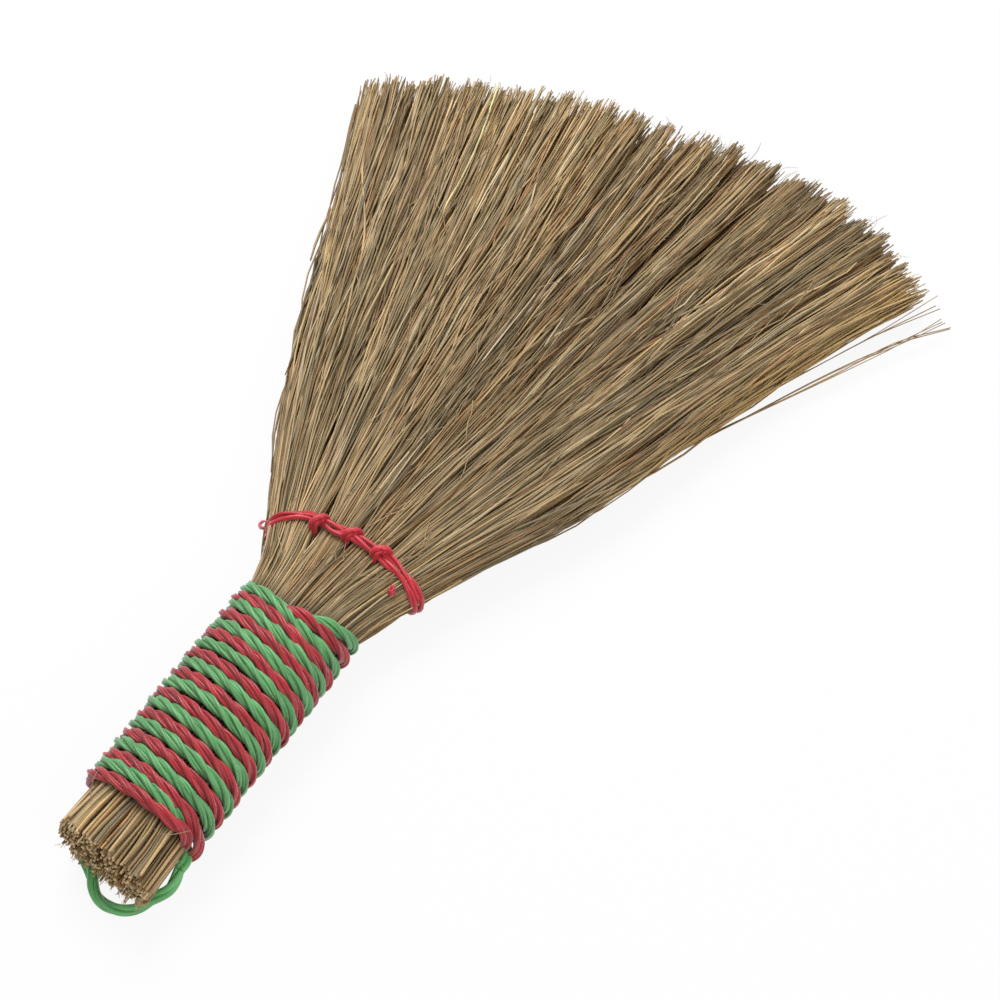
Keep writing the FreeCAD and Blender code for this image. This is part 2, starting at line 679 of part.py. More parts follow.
def hanging_loop():
    """Bend the free stretch of the loop from pivot to pivot, with round ends to turn on."""
    left = leg_places(-1)[2]
    right = leg_places(1)[2]
    route = [Vector(x, layout.pivot_y + y, z) for x, y, z in LOOP_ROUTE]
    edges, radii = rounded_route([left] + route + [right])
    print("hanging_loop: radii", [round(radius, 1) for radius in radii])
    cord = tube(edges, sizes.loop_diameter)
    ends = [Part.makeSphere(sizes.loop_diameter / 2, place) for place in (left, right)]
    return feature("hanging_loop", cord.fuse(ends).removeSplitter())


def build():
    """Make every piece of the broom and return its nodes."""
    bundle = straw_bundle()
    nodes = []
    legs = {}
    for side, hand in ((-1, "left"), (1, "right")):
        legs[hand] = loop_leg(f"loop_leg_{hand}", side)
        nodes.append(legs[hand][0])

    foot = fan_point(layout.stitch_radius - sizes.end_setback, sizes.end_angle, 0)
    bottom, top = column_through(bundle.Shape, foot)
    end_hole = feature("stitch_end_hole", post(foot, -layout.stack_height, layout.stack_height,
                                               sizes.twine_diameter + 2 * sizes.twine_clearance))
    nodes.append(feature("stitch_cut_end", post(foot, bottom, top + sizes.end_proud,
                                                sizes.twine_diameter)))

    splits = ["-Sizes.split_angle", "0", "Sizes.split_angle"]
    lefts = [left_points()] + [split_points(angle, 1) for angle in splits]
    rights = [split_points(angle, -1) for angle in splits] + [right_points()]
    bounds = [-sizes.fan_half_angle, -sizes.split_angle, 0.0, sizes.split_angle, sizes.fan_half_angle]
    names = ["straw_tuft_left", "straw_tuft_mid_left", "straw_tuft_mid_right", "straw_tuft_right"]
    cuts = {"straw_tuft_left": [legs["left"][1]], "straw_tuft_right": [legs["right"][1], end_hole]}
    for name, left, right, low, high in zip(names, lefts, rights, bounds, bounds[1:]):
        plan = plan_body(name + "_plan", left, right)
        piece = boolean("Common", name + "_whole", bundle, plan)
        tools = cuts.get(name, []) + [feature(f"{name}_front_valleys", valleys(low, high, 1)),
                                      feature(f"{name}_back_valleys", valleys(low, high, -1))]
        for index, tool in enumerate(tools):
            piece = boolean("Cut", f"{name}_cut_{index}", piece, tool)
        piece.Label = name
        nodes.append(piece)

    nodes.append(grip_cord("green_grip_cord", 0))
    nodes.append(grip_cord("red_grip_cord", 1))

    lashing, lashing_solid = stitch_lashing()
    nodes.append(feature("stitch_lashing", lashing_solid))
    for name, share in (("stitch_tie_left", -1), ("stitch_tie_middle", 0), ("stitch_tie_right", 1)):
        nodes.append(stitch_tie(name, share * sizes.split_angle, lashing))
    nodes.append(stitch_tail())
    nodes.append(hanging_loop())
    doc.recompute()
    return nodes


def write(nodes):
    """Check every object, then write each node's shape to its own file."""
    for item in doc.Objects:
        if {"Invalid", "Error"} & set(item.State):
            raise ValueError(f"{item.Label} failed: {item.State}")
    for node in nodes:
        shape = node.Shape
        if shape.isNull() or not shape.isValid():
            raise ValueError(f"{node.Label} has no valid shape")
        print(f"{node.Label}: {len(shape.Solids)} solid, volume {shape.Volume:.0f}")
    os.makedirs("parts", exist_ok=True)
    for node in nodes:
        node.Shape.exportStep(f"parts/{node.Label}.step")


write(build())
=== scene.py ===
"""Looks of the hand broom: loose straw stems, twisted grip cords, red stitching and a hanging loop.

Shapes are worked out in millimetres in the part's own frame, and turned into metres where a mesh is made.
"""

import math

import bpy
import numpy as np
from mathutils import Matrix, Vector


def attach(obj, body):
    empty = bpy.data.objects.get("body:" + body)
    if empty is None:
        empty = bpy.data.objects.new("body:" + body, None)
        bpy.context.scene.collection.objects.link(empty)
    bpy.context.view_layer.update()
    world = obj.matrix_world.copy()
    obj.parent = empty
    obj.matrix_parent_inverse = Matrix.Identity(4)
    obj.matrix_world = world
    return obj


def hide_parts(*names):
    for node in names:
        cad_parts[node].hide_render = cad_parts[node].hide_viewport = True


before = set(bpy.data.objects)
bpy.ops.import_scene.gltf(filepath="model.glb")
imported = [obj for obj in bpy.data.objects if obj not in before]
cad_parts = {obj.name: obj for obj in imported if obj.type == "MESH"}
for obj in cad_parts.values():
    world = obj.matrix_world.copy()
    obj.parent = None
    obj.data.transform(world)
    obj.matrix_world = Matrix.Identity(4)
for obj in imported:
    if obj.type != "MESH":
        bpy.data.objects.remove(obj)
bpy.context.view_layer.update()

MM = 0.001

# Places and sizes of the part, in millimetres
BUTT_Y = -182.03
WRAP_END_Y = -160.03
NECK_Y = -70.97
STITCH_Y = -43.97
TIP_Y = 182.03
PIVOT_Y = -165.53
PIVOT_X = 17.85
PIVOT_Z = 7.511
CORE_HALF_WIDTH = 17.5
CORE_HALF_HEIGHT = 10.0
FAN_ANGLE = math.radians(25.0)
FAN_SLOPE = math.tan(FAN_ANGLE)
APEX_Y = NECK_Y - CORE_HALF_WIDTH / FAN_SLOPE
STITCH_RADIUS = STITCH_Y - APEX_Y
SPLIT_ANGLE = math.radians(10.5)
SPLITS = (-SPLIT_ANGLE, 0.0, SPLIT_ANGLE)
GRIP_Z = 14.1
STITCH_Z = 13.0
EDGE_ROUNDNESS = 0.75
CORD_DIAMETER = 3.8
CORD_TURNS = 10
CORD_CLEARANCE = 0.3
TWINE_DIAMETER = 1.8
TWINE_SPACING = 2.4

# Route of the hanging loop between its pivots, along Y from the pivots
LOOP_ROUTE = [(-17.6, -4.6, 5.1), (-14.2, -8.2, 2.5), (-9.2, -10.2, 1.78), (-5.8, -12.9, 1.78), (-2.6, -16.4, 1.78),
              (2.0, -18.9, 1.78), (7.8, -19.0, 1.8), (12.2, -15.6, 1.85), (15.2, -9.8, 2.5), (18.6, -4.6, 5.0)]

rng = np.random.default_rng(20)


# Small helpers

def smoothstep(low, high, value):
    """Rise from 0 at low to 1 at high, level at both ends."""
    t = np.clip((value - low) / (high - low), 0.0, 1.0)
    return t * t * (3.0 - 2.0 * t)


def unit(vectors):
    """Scale vectors to length 1."""
    return vectors / np.maximum(np.linalg.norm(vectors, axis=-1, keepdims=True), 1e-9)


def linear(red, green, blue):
    """Turn a display colour of 0 to 255 into linear values."""
    srgb = np.array([red, green, blue], float) / 255.0
    return np.where(srgb <= 0.04045, srgb / 12.92, ((srgb + 0.055) / 1.055) ** 2.4)


def add_object(name, data):
    """Add an object to the scene."""
    added = bpy.data.objects.new(name, data)
    bpy.context.scene.collection.objects.link(added)
    return added


def walked_along(points):
    """Return the length along lines at each of their points."""
    steps = np.linalg.norm(np.diff(points, axis=-2), axis=-1)
    return np.concatenate([np.zeros((*steps.shape[:-1], 1)), np.cumsum(steps, axis=-1)], axis=-1)


def smooth_table(place, places, values, window):
    """Read a table of places and values, smoothed over a short stretch."""
    steps = np.linspace(-window, window, 7)
    return np.mean([np.interp(place + step, places, values) for step in steps], axis=0)


def smooth_through(places, points):
    """Read a smooth curve through points that stand at whole numbers."""
    slopes = np.gradient(points, axis=0)
    low = np.clip(np.floor(places).astype(int), 0, len(points) - 2)
    t = (places - low)[:, None]
    return (points[low] * (2 * t ** 3 - 3 * t ** 2 + 1) + slopes[low] * (t ** 3 - 2 * t ** 2 + t)
            + points[low + 1] * (3 * t ** 2 - 2 * t ** 3) + slopes[low + 1] * (t ** 3 - t ** 2))


# Meshes of many round strands

STEM_SIDES = 5
HAIR_SIDES = 4
CORD_SIDES = 7
# Shift of the streaks from strand to strand and once round a strand, in metres
STREAK_STEP = 0.011
STREAK_ROUND = 0.003
# Margin beside a strand in its strip of the second map, and the share of the strip that it fills
STRIP_MARGIN = 0.2
STRIP_FILL = 0.6
# Corners of a quad: steps along and round the strand from its first corner
CORNER_RINGS = np.array([0, 0, 1, 1])
CORNER_SIDES = np.array([0, 1, 1, 0])


def strand_rings(lines, radii, sides, reference):
    """Put a ring of vertices round each point of each line. The reference is never along a line."""
    tangent = unit(np.gradient(lines, axis=1))
    across = unit(np.cross(tangent, reference))
    upward = np.cross(across, tangent)
    angle = np.arange(sides) * math.tau / sides
    ring = across[:, :, None] * np.cos(angle)[:, None] + upward[:, :, None] * np.sin(angle)[:, None]
    return lines[:, :, None] + ring * radii[:, :, None, None]


def pairs(shape, first, second):
    """Join two sets of values into map coordinates."""
    return np.stack([np.broadcast_to(first, shape), np.broadcast_to(second, shape)], axis=-1)


def strand_blocks(lines, sides, base, strip, rows, total):
    """Return the quads along strands, their first ends and their last ends, each with two maps.

    One map holds lengths along and round each strand in metres, for streaks. The other gives each
    strand, or each stretch of it, a strip of its own.
    """
    count, rings = lines.shape[:2]
    start = (base + np.arange(count) * rings * sides)[:, None]
    serial = (strip + np.arange(count))[:, None]
    walked = walked_along(lines)
    share = walked / walked[:, -1:]
    middle = (share[:, :-1] + share[:, 1:]) / 2
    row = np.minimum((middle * rows).astype(int), rows - 1)[:, :, None, None]
    ring = np.arange(rings - 1)[:, None, None] + CORNER_RINGS
    side = np.arange(sides)[:, None] + CORNER_SIDES
    around = side / sides
    own = serial[:, :, None, None]
    quads = start[:, :, None, None] + ring * sides + side % sides
    blocks = [(quads, pairs(quads.shape, walked[:, ring] * MM, around * STREAK_ROUND + own * STREAK_STEP),
               pairs(quads.shape, np.clip(share[:, ring] * rows - row, 0.0, 1.0),
                     (own * rows + row + STRIP_MARGIN + STRIP_FILL * around) / total))]
    for end, order in ((0, -1), (1, 1)):
        last = end * (rings - 1)
        faces = start + last * sides + np.arange(sides)[::order]
        blocks.append((faces, pairs(faces.shape, walked[:, last, None] * MM, serial * STREAK_STEP),
                       pairs(faces.shape, end, (serial * rows + 0.5 + (rows - 1) * end) / total)))
    return blocks


def strand_mesh(name, groups, material, rows=1):
    """Make one object of groups of strands: lines, radii, sides, reference and a colour per point."""
    verts, tints, walls, ends = [], [], [], []
    base = strip = 0
    total = rows * sum(len(lines) for lines, *_ in groups)
    for lines, radii, sides, reference, tint in groups:
        verts.append(strand_rings(lines, radii, sides, reference).reshape(-1, 3))
        tints.append(np.repeat(tint.reshape(-1, 3), sides, axis=0))
        wall, *caps = strand_blocks(lines, sides, base, strip, rows, total)
        walls.append(wall)
        ends.extend(caps)
        base += len(verts[-1])
        strip += len(lines)
    return finish_mesh(name, np.concatenate(verts) * MM, np.concatenate(tints), walls + ends, material)


def finish_mesh(name, verts, tints, blocks, material):
    """Write vertices and blocks of faces into a mesh with its colours and maps."""
    loops = np.concatenate([faces.reshape(-1) for faces, *_ in blocks]).astype(np.int32)
    totals = np.concatenate([np.full(faces.size // faces.shape[-1], faces.shape[-1]) for faces, *_ in blocks])
    mesh = bpy.data.meshes.new(name)
    mesh.vertices.add(len(verts))
    mesh.vertices.foreach_set("co", verts.astype(np.float32).reshape(-1))
    mesh.loops.add(len(loops))
    mesh.loops.foreach_set("vertex_index", loops)
    mesh.polygons.add(len(totals))
    mesh.polygons.foreach_set("loop_start", np.concatenate([[0], np.cumsum(totals)[:-1]]).astype(np.int32))
    mesh.polygons.foreach_set("loop_total", totals.astype(np.int32))
    mesh.update(calc_edges=True)
    mesh.validate()
    mesh.polygons.foreach_set("use_smooth", totals == 4)
    colours = np.concatenate([tints, np.ones((len(tints), 1))], axis=1)
    tint = mesh.color_attributes.new("tint", "FLOAT_COLOR", "POINT")
    tint.data.foreach_set("color", colours.astype(np.float32).reshape(-1))
    for place, map_name in ((1, "strand"), (2, "OFBake")):
        coordinates = np.concatenate([block[place].reshape(-1) for block in blocks])
        layer = mesh.uv_layers.new(name=map_name)
        layer.data.foreach_set("uv", coordinates.astype(np.float32))
    mesh.materials.append(material)
    return add_object(name, mesh)


# Materials

def fresh_tree(owner):
    """Empty the node tree of a material or of the world."""
    owner.use_nodes = True
    owner.node_tree.nodes.clear()
    return owner.node_tree


def add_node(tree, kind, inputs, **settings):
    """Add a node with its settings, and link or set its inputs."""
    added = tree.nodes.new(kind)
    for setting, value in settings.items():
        setattr(added, setting, value)
    for socket, value in inputs.items():
        if isinstance(value, bpy.types.NodeSocket):
            tree.links.new(value, added.inputs[socket])
        else:
            added.inputs[socket].default_value = value
    return added


def streaks(tree, stretch, detail, stops):
    """Return a noise that runs along the strands, and the colours that its values stand for."""
    coordinates = add_node(tree, "ShaderNodeUVMap", {}, uv_map="strand")
    mapping = add_node(tree, "ShaderNodeMapping", {"Vector": coordinates.outputs["UV"], "Scale": (*stretch, 1.0)})
    noise = add_node(tree, "ShaderNodeTexNoise", {
        "Vector": mapping.outputs["Vector"], "Scale": 1.0, "Detail": detail})
    ramp = add_node(tree, "ShaderNodeValToRGB", {"Fac": noise.outputs["Fac"]})
    elements = ramp.color_ramp.elements
    while len(elements) < len(stops):
        elements.new(0.5)
    for element, (position, colour) in zip(elements, stops):
        element.position = position
        element.color = (*colour, 1.0)
    return noise.outputs["Fac"], ramp.outputs["Color"]


def strand_material(name, patterns, roughness, relief, settings):
    """Make a material of strands in their own colours, with two patterns along them.

    The first pattern also varies the roughness. The relief is the pattern that it follows, its strength
    and its depth in metres.
    """
    material = bpy.data.materials.new(name)
    tree = fresh_tree(material)
    colour = add_node(tree, "ShaderNodeAttribute", {}, attribute_name="tint").outputs["Color"]
    values = []
    for pattern in patterns:
        value, shade = streaks(tree, *pattern)
        values.append(value)
        colour = add_node(tree, "ShaderNodeMix", {0: 1.0, 6: colour, 7: shade}, data_type="RGBA",
                          blend_type="MULTIPLY").outputs[2]
    low, high = roughness
    rough = add_node(tree, "ShaderNodeMapRange", {"Value": values[0], "To Min": low, "To Max": high})
    followed, strength, depth = relief
    bump = add_node(tree, "ShaderNodeBump", {"Height": values[followed], "Strength": strength, "Distance": depth})
    shader = add_node(tree, "ShaderNodeBsdfPrincipled", {
        "Base Color": colour, "Roughness": rough.outputs["Result"], "Normal": bump.outputs["Normal"], **settings})
    add_node(tree, "ShaderNodeOutputMaterial", {"Surface": shader.outputs["BSDF"]})
    return material


# Dry grass, with darker blotches and fine streaks along each stem
STRAW = strand_material(
    "dry_straw",
    [((55.0, 20.0), 3.0, [(0.30, (0.66, 0.62, 0.56)), (0.52, (1.0, 1.0, 1.0)), (0.75, (1.12, 1.08, 0.98))]),
     ((120.0, 2600.0), 4.0, [(0.35, (0.78, 0.76, 0.72)), (0.65, (1.06, 1.06, 1.05))])],
    (0.42, 0.68), (1, 0.35, 0.0001), {"Specular IOR Level": 0.5})
# Split-film plastic twine: glossy, with fine fibrils in darker and paler streaks; the paler streaks are painted
# highlights along the ridges
TWINE = strand_material(
    "glossy_twine",
    [((60.0, 3200.0), 5.0, [(0.30, (0.62, 0.62, 0.62)), (0.52, (1.0, 1.0, 1.0)), (0.80, (1.30, 1.30, 1.30))]),
     ((90.0, 60.0), 2.0, [(0.30, (0.82, 0.82, 0.82)), (0.70, (1.12, 1.12, 1.12))])],
    (0.26, 0.46), (0, 0.5, 0.0002), {"Specular IOR Level": 0.5, "Sheen Weight": 0.45, "Sheen Roughness": 0.35})

STRAW_COLOURS = np.array([linear(*colour) for colour in (
    (176, 151, 112), (165, 141, 102), (151, 130, 94), (140, 121, 88),
    (132, 103, 67), (165, 128, 84), (143, 131, 103), (200, 182, 150))])
STRAW_SHARES = np.array([0.22, 0.2, 0.17, 0.12, 0.1, 0.05, 0.06, 0.08])
# Painted shade: how much darker stems deep inside the bundle are made, in red, green and blue
PAINTED_DEEP_SHADE = np.array([0.30, 0.40, 0.56])
GOLD = linear(206, 173, 114)
CUT_END = linear(204, 177, 135)
HAIR = linear(190, 168, 130)
WISP = linear(170, 142, 100)
GREEN = linear(100, 168, 104)
RED = linear(174, 45, 54)
STITCH_RED = linear(206, 46, 60)
# Frayed tail of the stitching twine: the same red twine, thin and a little translucent, made paler pink with painted
# highlight
HIGHLIT_TAIL_RED = linear(222, 120, 126)
LOOP_GREEN = linear(104, 182, 108)


# Straw: where a stem lies in the bundle

PROFILE_Y = np.array([BUTT_Y, WRAP_END_Y, NECK_Y, -54.0, -36.0, 18.0, TIP_Y])
PROFILE_HALF_HEIGHT = np.array([10.4, 10.0, 10.0, 8.5, 8.6, 9.5, 7.1])
PROFILE_MIDDLE = np.array([14.1, 14.1, 14.1, 13.0, 13.0, 11.5, 7.3])
NECK_SOFTNESS = 7.0
BUTT_FLARE = 0.5
CROWN = 0.22
# How far the left edge of the fan swells past a straight line, and the right edge draws in from it
SWELL = ([-62.0, -39.5, -17.5, 13.5, 39.5, 74.5, 102.5, 130.5, 160.0],
         [0.0, 2.7, 4.9, 5.6, 4.7, 3.5, 1.9, 1.5, 1.5])
DRAW_IN = ([0.0, 38.0, 62.0, 81.0, 105.0, 125.0, 151.0], [0.0, 4.4, 8.6, 10.9, 14.0, 16.3, 17.6])
# Where the tips end, by share of the width
TIP_SHARES = [-1.0, -0.9, -0.8, -0.65, -0.5, -0.3, -0.1, 0.1, 0.2, 0.33, 0.43, 0.55, 0.62, 0.75, 0.9, 1.0]
TIP_ENDS = [138.5, 145.0, 152.0, 159.5, 167.5, 175.0, 179.0, 181.0, 181.5, 180.5, 179.0, 174.5, 171.0, 164.5, 158.5,
            156.0]
# Valleys between locks of stems: their angles, and their bottoms where they begin and at the tips
VALLEY_ANGLES = np.radians([0.0, 2.625, 5.25, 7.875, 10.5, 14.125, 17.75, 21.375])
VALLEY_RADII = (84.5, 290.53)
FRONT_VALLEY = (21.5, 10.5)
BACK_VALLEY = (4.5, 3.5)
LOCK_EDGES = np.concatenate([-VALLEY_ANGLES[:0:-1], VALLEY_ANGLES])
OUTER_LOCK = math.radians(23.2)
LOCK_MIDDLES = np.concatenate([[-OUTER_LOCK], (LOCK_EDGES[1:] + LOCK_EDGES[:-1]) / 2.0, [OUTER_LOCK]])
# Slot that a tie opens between two tufts: half its width, how soon the stems beside it close up, and how far
# it is clear and reaches to either side of the stitching
SLOT_HALF_WIDTH = 1.3
SLOT_FADE = 3.0
SLOT_CLEAR = 2.0
SLOT_BELOW = 14.0
SLOT_ABOVE = 24.0
# Clumps along the lower and the upper fan and at the tips: how many, and how far stems lean to their middles
LOW_COUNT, LOW_PULL = 130, 0.32
HIGH_COUNT, HIGH_PULL = 150, 0.42
TIP_COUNT, TIP_PULL = 56, 0.10
LOCK_PULL = 0.06
# How much more the width tells clumps apart than the height
CLUMP_WIDTH_WEIGHT = 22.0
# Lowest middle of a stem above the floor
STEM_FLOOR = 0.35
# Share of stems that end short
SHORT_SHARE = 0.16
# Places along the broom that the taper of stems is given at
TAPER_Y = [BUTT_Y, WRAP_END_Y, NECK_Y, STITCH_Y, 60.0, TIP_Y - 12.0, TIP_Y]


def along_profile(y, values):
    """Read a value of the bundle at a place along it."""
    return smooth_table(y, PROFILE_Y, values, 9.0)


def half_width(y):
    """Half width of the bundle: straight in the grip, then a fan, and a little flare at the butt."""
    fan = FAN_SLOPE * NECK_SOFTNESS * np.logaddexp(0.0, (y - NECK_Y) / NECK_SOFTNESS)
    flare = BUTT_FLARE * np.clip((WRAP_END_Y - y) / (WRAP_END_Y - BUTT_Y), 0.0, 1.3) ** 1.4
    return CORE_HALF_WIDTH + fan + flare


def section_height(u, y):
    """Half height of the bundle at a share of its width."""
    height = along_profile(y, PROFILE_HALF_HEIGHT)
    inset = np.clip((1.0 - np.abs(u)) * half_width(y) / (EDGE_ROUNDNESS * height), 0.0, 1.0)
    return height * (1.0 - CROWN * u * u) * np.maximum(np.sqrt(1.0 - (1.0 - inset) ** 2), 0.12)


def valley_limits(x, y):
    """Return how high the front and how low the back may reach at a place, for the valleys between locks."""
    radius = np.hypot(x, y - APEX_Y)
    angle = np.abs(np.arctan2(x, y - APEX_Y))
    off = np.min(np.abs(angle[..., None] - VALLEY_ANGLES), axis=-1) * radius
    before = np.maximum(VALLEY_RADII[0] - radius, 0.0)
    return (np.interp(radius, VALLEY_RADII, FRONT_VALLEY) + off + before,
            np.interp(radius, VALLEY_RADII, BACK_VALLEY) - off - before)


def bundle_point(u, v, y):
    """Return the place of a stem at shares of the width and the height."""
    x = u * half_width(y)
    x = x - np.interp(y, *SWELL) * smoothstep(-0.35, -1.0, u) - np.interp(y, *DRAW_IN) * smoothstep(0.55, 1.0, u)
    middle = along_profile(y, PROFILE_MIDDLE)
    height = section_height(u, y)
    front, back = valley_limits(x, y)
    above = np.minimum(height, front - middle)
    below = np.minimum(height, middle - back)
    return x, middle + v * np.where(v >= 0.0, above, below)


def fan_share(y):
    """Share of the way from the stitching to the tips."""
    return np.clip((y - STITCH_Y) / (TIP_Y - STITCH_Y), 0.0, 1.0)


def part_slots(x, y, home):
    """Push stems aside where a tie passes between two tufts."""
    radius = np.hypot(x, y - APEX_Y)
    opening = (smoothstep(STITCH_RADIUS - SLOT_BELOW, STITCH_RADIUS - SLOT_CLEAR, radius)
               * (1.0 - smoothstep(STITCH_RADIUS + SLOT_CLEAR, STITCH_RADIUS + SLOT_ABOVE, radius)))
    for split in SPLITS:
        middle = (y - APEX_Y) * math.tan(split)
        side = np.where(home > math.tan(split) / FAN_SLOPE, 1.0, -1.0)
        away = np.maximum((x - middle) * side, 0.0)
        x = x + side * SLOT_HALF_WIDTH * opening * np.exp(-away / SLOT_FADE)
    return x


def waves(y, longest, shortest):
    """Return a smooth random sway for each stem."""
    count = len(y)
    sway = np.zeros_like(y)
    for _ in range(3):
        length = rng.uniform(shortest, longest, (count, 1))
        phase = rng.uniform(0.0, math.tau, (count, 1))
        sway += np.sin(math.tau * y / length + phase) * rng.normal(0.0, 0.55, (count, 1))
    return sway


def clumps(count, depth):
    """Scatter the middles of clumps over the section. The depth weighs how much height tells them apart."""
    return np.sort(rng.uniform(-1.0, 1.0, count)), rng.uniform(-1.0, 1.0, count), depth


LOW_CLUMPS = clumps(LOW_COUNT, 2.0)
HIGH_CLUMPS = clumps(HIGH_COUNT, 2.0)
TIP_CLUMPS = clumps(TIP_COUNT, 0.25)
clump_reach = rng.normal(0.0, 1.2, TIP_COUNT)
clump_tone = rng.normal(1.0, 0.08, LOW_COUNT)
tip_tone = rng.normal(0.97, 0.12, HIGH_COUNT)


def nearest_clump(u, v, group):
    """Return the clump that each stem leans towards."""
    apart = ((u[:, None] - group[0]) * CLUMP_WIDTH_WEIGHT) ** 2 + ((v[:, None] - group[1]) * group[2]) ** 2
    return np.argmin(apart, axis=1)


def stem_lines(u, v, y, home, sway):
    """Return the lines of stems at their shares of the bundle, leaning together in clumps and locks."""
    share = fan_share(y)
    u_here, v_here = u, v
    low_pull = LOW_PULL * smoothstep(0.0, 0.2, share) * (1.0 - smoothstep(0.35, 0.65, share))
    for group, pull in ((LOW_CLUMPS, low_pull), (HIGH_CLUMPS, HIGH_PULL * smoothstep(0.35, 0.7, share)),
                        (TIP_CLUMPS, TIP_PULL * smoothstep(0.84, 1.0, share))):
        own = nearest_clump(*home, group)
        u_here = u_here + (group[0][own] - home[0])[:, None] * pull
        if group is not TIP_CLUMPS:
            v_here = v_here + (group[1][own] - home[1])[:, None] * pull * 0.5
    lock = LOCK_MIDDLES[np.searchsorted(LOCK_EDGES, np.arctan(home[0] * FAN_SLOPE))]
    u_here = u_here + (np.tan(lock) / FAN_SLOPE - home[0])[:, None] * LOCK_PULL * smoothstep(0.25, 1.0, share)
    x, z = bundle_point(np.clip(u_here, -1.0, 1.0), np.clip(v_here, -1.0, 1.0), y)
    loose = smoothstep(-84.0, -66.0, y) * (0.5 + 0.5 * smoothstep(0.0, 0.25, share))
    x = x + waves(y, 150.0, 45.0) * sway * loose
    z = z + waves(y, 130.0, 40.0) * 0.6 * sway * loose
    x = part_slots(x, y, home[0][:, None])
    return np.stack([x, y, np.maximum(z, STEM_FLOOR)], axis=-1)


def stem_ends(u, v, scatter):
    """Return where stems end: a little uneven, alike within a clump, and some of them short."""
    own = nearest_clump(u, v, TIP_CLUMPS)
    short = np.where(rng.uniform(size=len(u)) < SHORT_SHARE, rng.uniform(4.0, 26.0, len(u)), 0.0)
    return (np.interp(u, TIP_SHARES, TIP_ENDS) + 1.0 + clump_reach[own] - np.abs(rng.normal(0.0, scatter, len(u)))
            - short)


def stem_colours(u, v, y):
    """Give each stem its colour: darker and browner deep in the bundle with painted shade, a little brighter on the
    left with painted light, darkened under the wrap with painted shade, golden at the right edge, paler at its tip.
    """
    count = len(u)
    pick = rng.choice(len(STRAW_COLOURS), count, p=STRAW_SHARES)
    own = STRAW_COLOURS[pick] * rng.lognormal(0.0, 0.25, (count, 1))
    own = own * clump_tone[nearest_clump(u, v, LOW_CLUMPS)][:, None] * rng.normal(1.0, 0.02, (count, 3))
    # Painted shade: stems away from the front, the back and the side edges of the bundle are darkened and browned
    outer = np.maximum(np.abs(v), np.clip((np.abs(u) - 0.8) / 0.15, 0.0, 1.0))
    own = own * (1.0 - smoothstep(0.95, 0.4, outer)[:, None] * PAINTED_DEEP_SHADE)
    # Painted light: stems on the left side are made up to a tenth brighter, as if lit more from the upper left
    own = own * (1.0 + 0.1 * smoothstep(0.1, -0.9, u))[:, None]
    golden = (smoothstep(0.94, 0.985, u)[:, None] * smoothstep(0.0, 60.0, y) * 0.65)[:, :, None]
    paler = 1.0 + 0.3 * smoothstep(0.5, 1.0, fan_share(y)) + 0.1 * smoothstep(0.0, -40.0, y)
    paler = paler + 0.16 * smoothstep(-158.0, -166.0, y)
    # Painted shade: stems under the grip's wrap are darkened by nearly three quarters, as the shadow under the cords
    bound = smoothstep(-162.0, -157.0, y) * (1.0 - smoothstep(-80.0, -72.0, y))
    toned = tip_tone[nearest_clump(u, v, HIGH_CLUMPS)][:, None] - 1.0
    paler = paler * (1.0 + toned * smoothstep(0.3, 0.7, fan_share(y)))
    colours = own[:, None, :] * (1.0 - golden) + GOLD * golden
    return np.clip(colours * (paler * (1.0 - 0.72 * bound))[:, :, None], 0.006, 0.9)


def plain_colours(colour, tone, spread, shape):
    """Give each strand one colour along its whole length, a little different from the next."""
    return np.repeat((colour * rng.normal(tone, spread, (shape[0], 1)))[:, None], shape[1], axis=1)


def hairs(x, y, z, thin, taper, colour, tone, spread):
    """Return hairs through points, each with its own thickness and colour."""
    radii = rng.uniform(*thin, (len(y), 1)) * np.array(taper)
    return np.stack([x, y, z], axis=-1), radii, HAIR_SIDES, plain_colours(colour, tone, spread, y.shape)


def run_on(start, inside, stop, outside):
    """Return places along stems: their starts, set places in the neck, then shares of the way to their ends."""
    way = inside[-1] + (stop[:, None] - inside[-1]) * outside
    return np.concatenate([start, np.tile(inside, (len(stop), 1)), way], axis=1)


def stem_radii(y, middle, spread, limits, taper):
    """Give each stem its thickness, with a taper that ends at the tips."""
    thick = np.clip(rng.normal(middle, spread, len(y)), *limits)[:, None]
    radii = thick * np.interp(y, TAPER_Y[-len(taper):], taper)
    radii[:, -1] *= 0.7
    return radii


def packed_shares(spacing):
    """Fill the oval section at the butt with evenly packed stems."""
    shares = []
    width = float(half_width(BUTT_Y))
    columns = int(2.0 * width / (spacing * 0.88))
    for column in range(columns):
        u = (column + 0.5) / columns * 2.0 - 1.0
        rows = max(1, int(round(2.0 * float(section_height(u, BUTT_Y)) / spacing)))
        for row in range(rows):
            shares.append((u, (row + 0.5 + 0.25 * (1 if column % 2 else -1)) / rows * 2.0 - 1.0))
    shares = np.array(shares) + rng.normal(0.0, 1.0, (len(shares), 2)) * [0.3 * spacing / width, 0.025]
    return np.clip(shares[:, 0], -0.985, 0.985), np.clip(shares[:, 1], -0.97, 0.97)


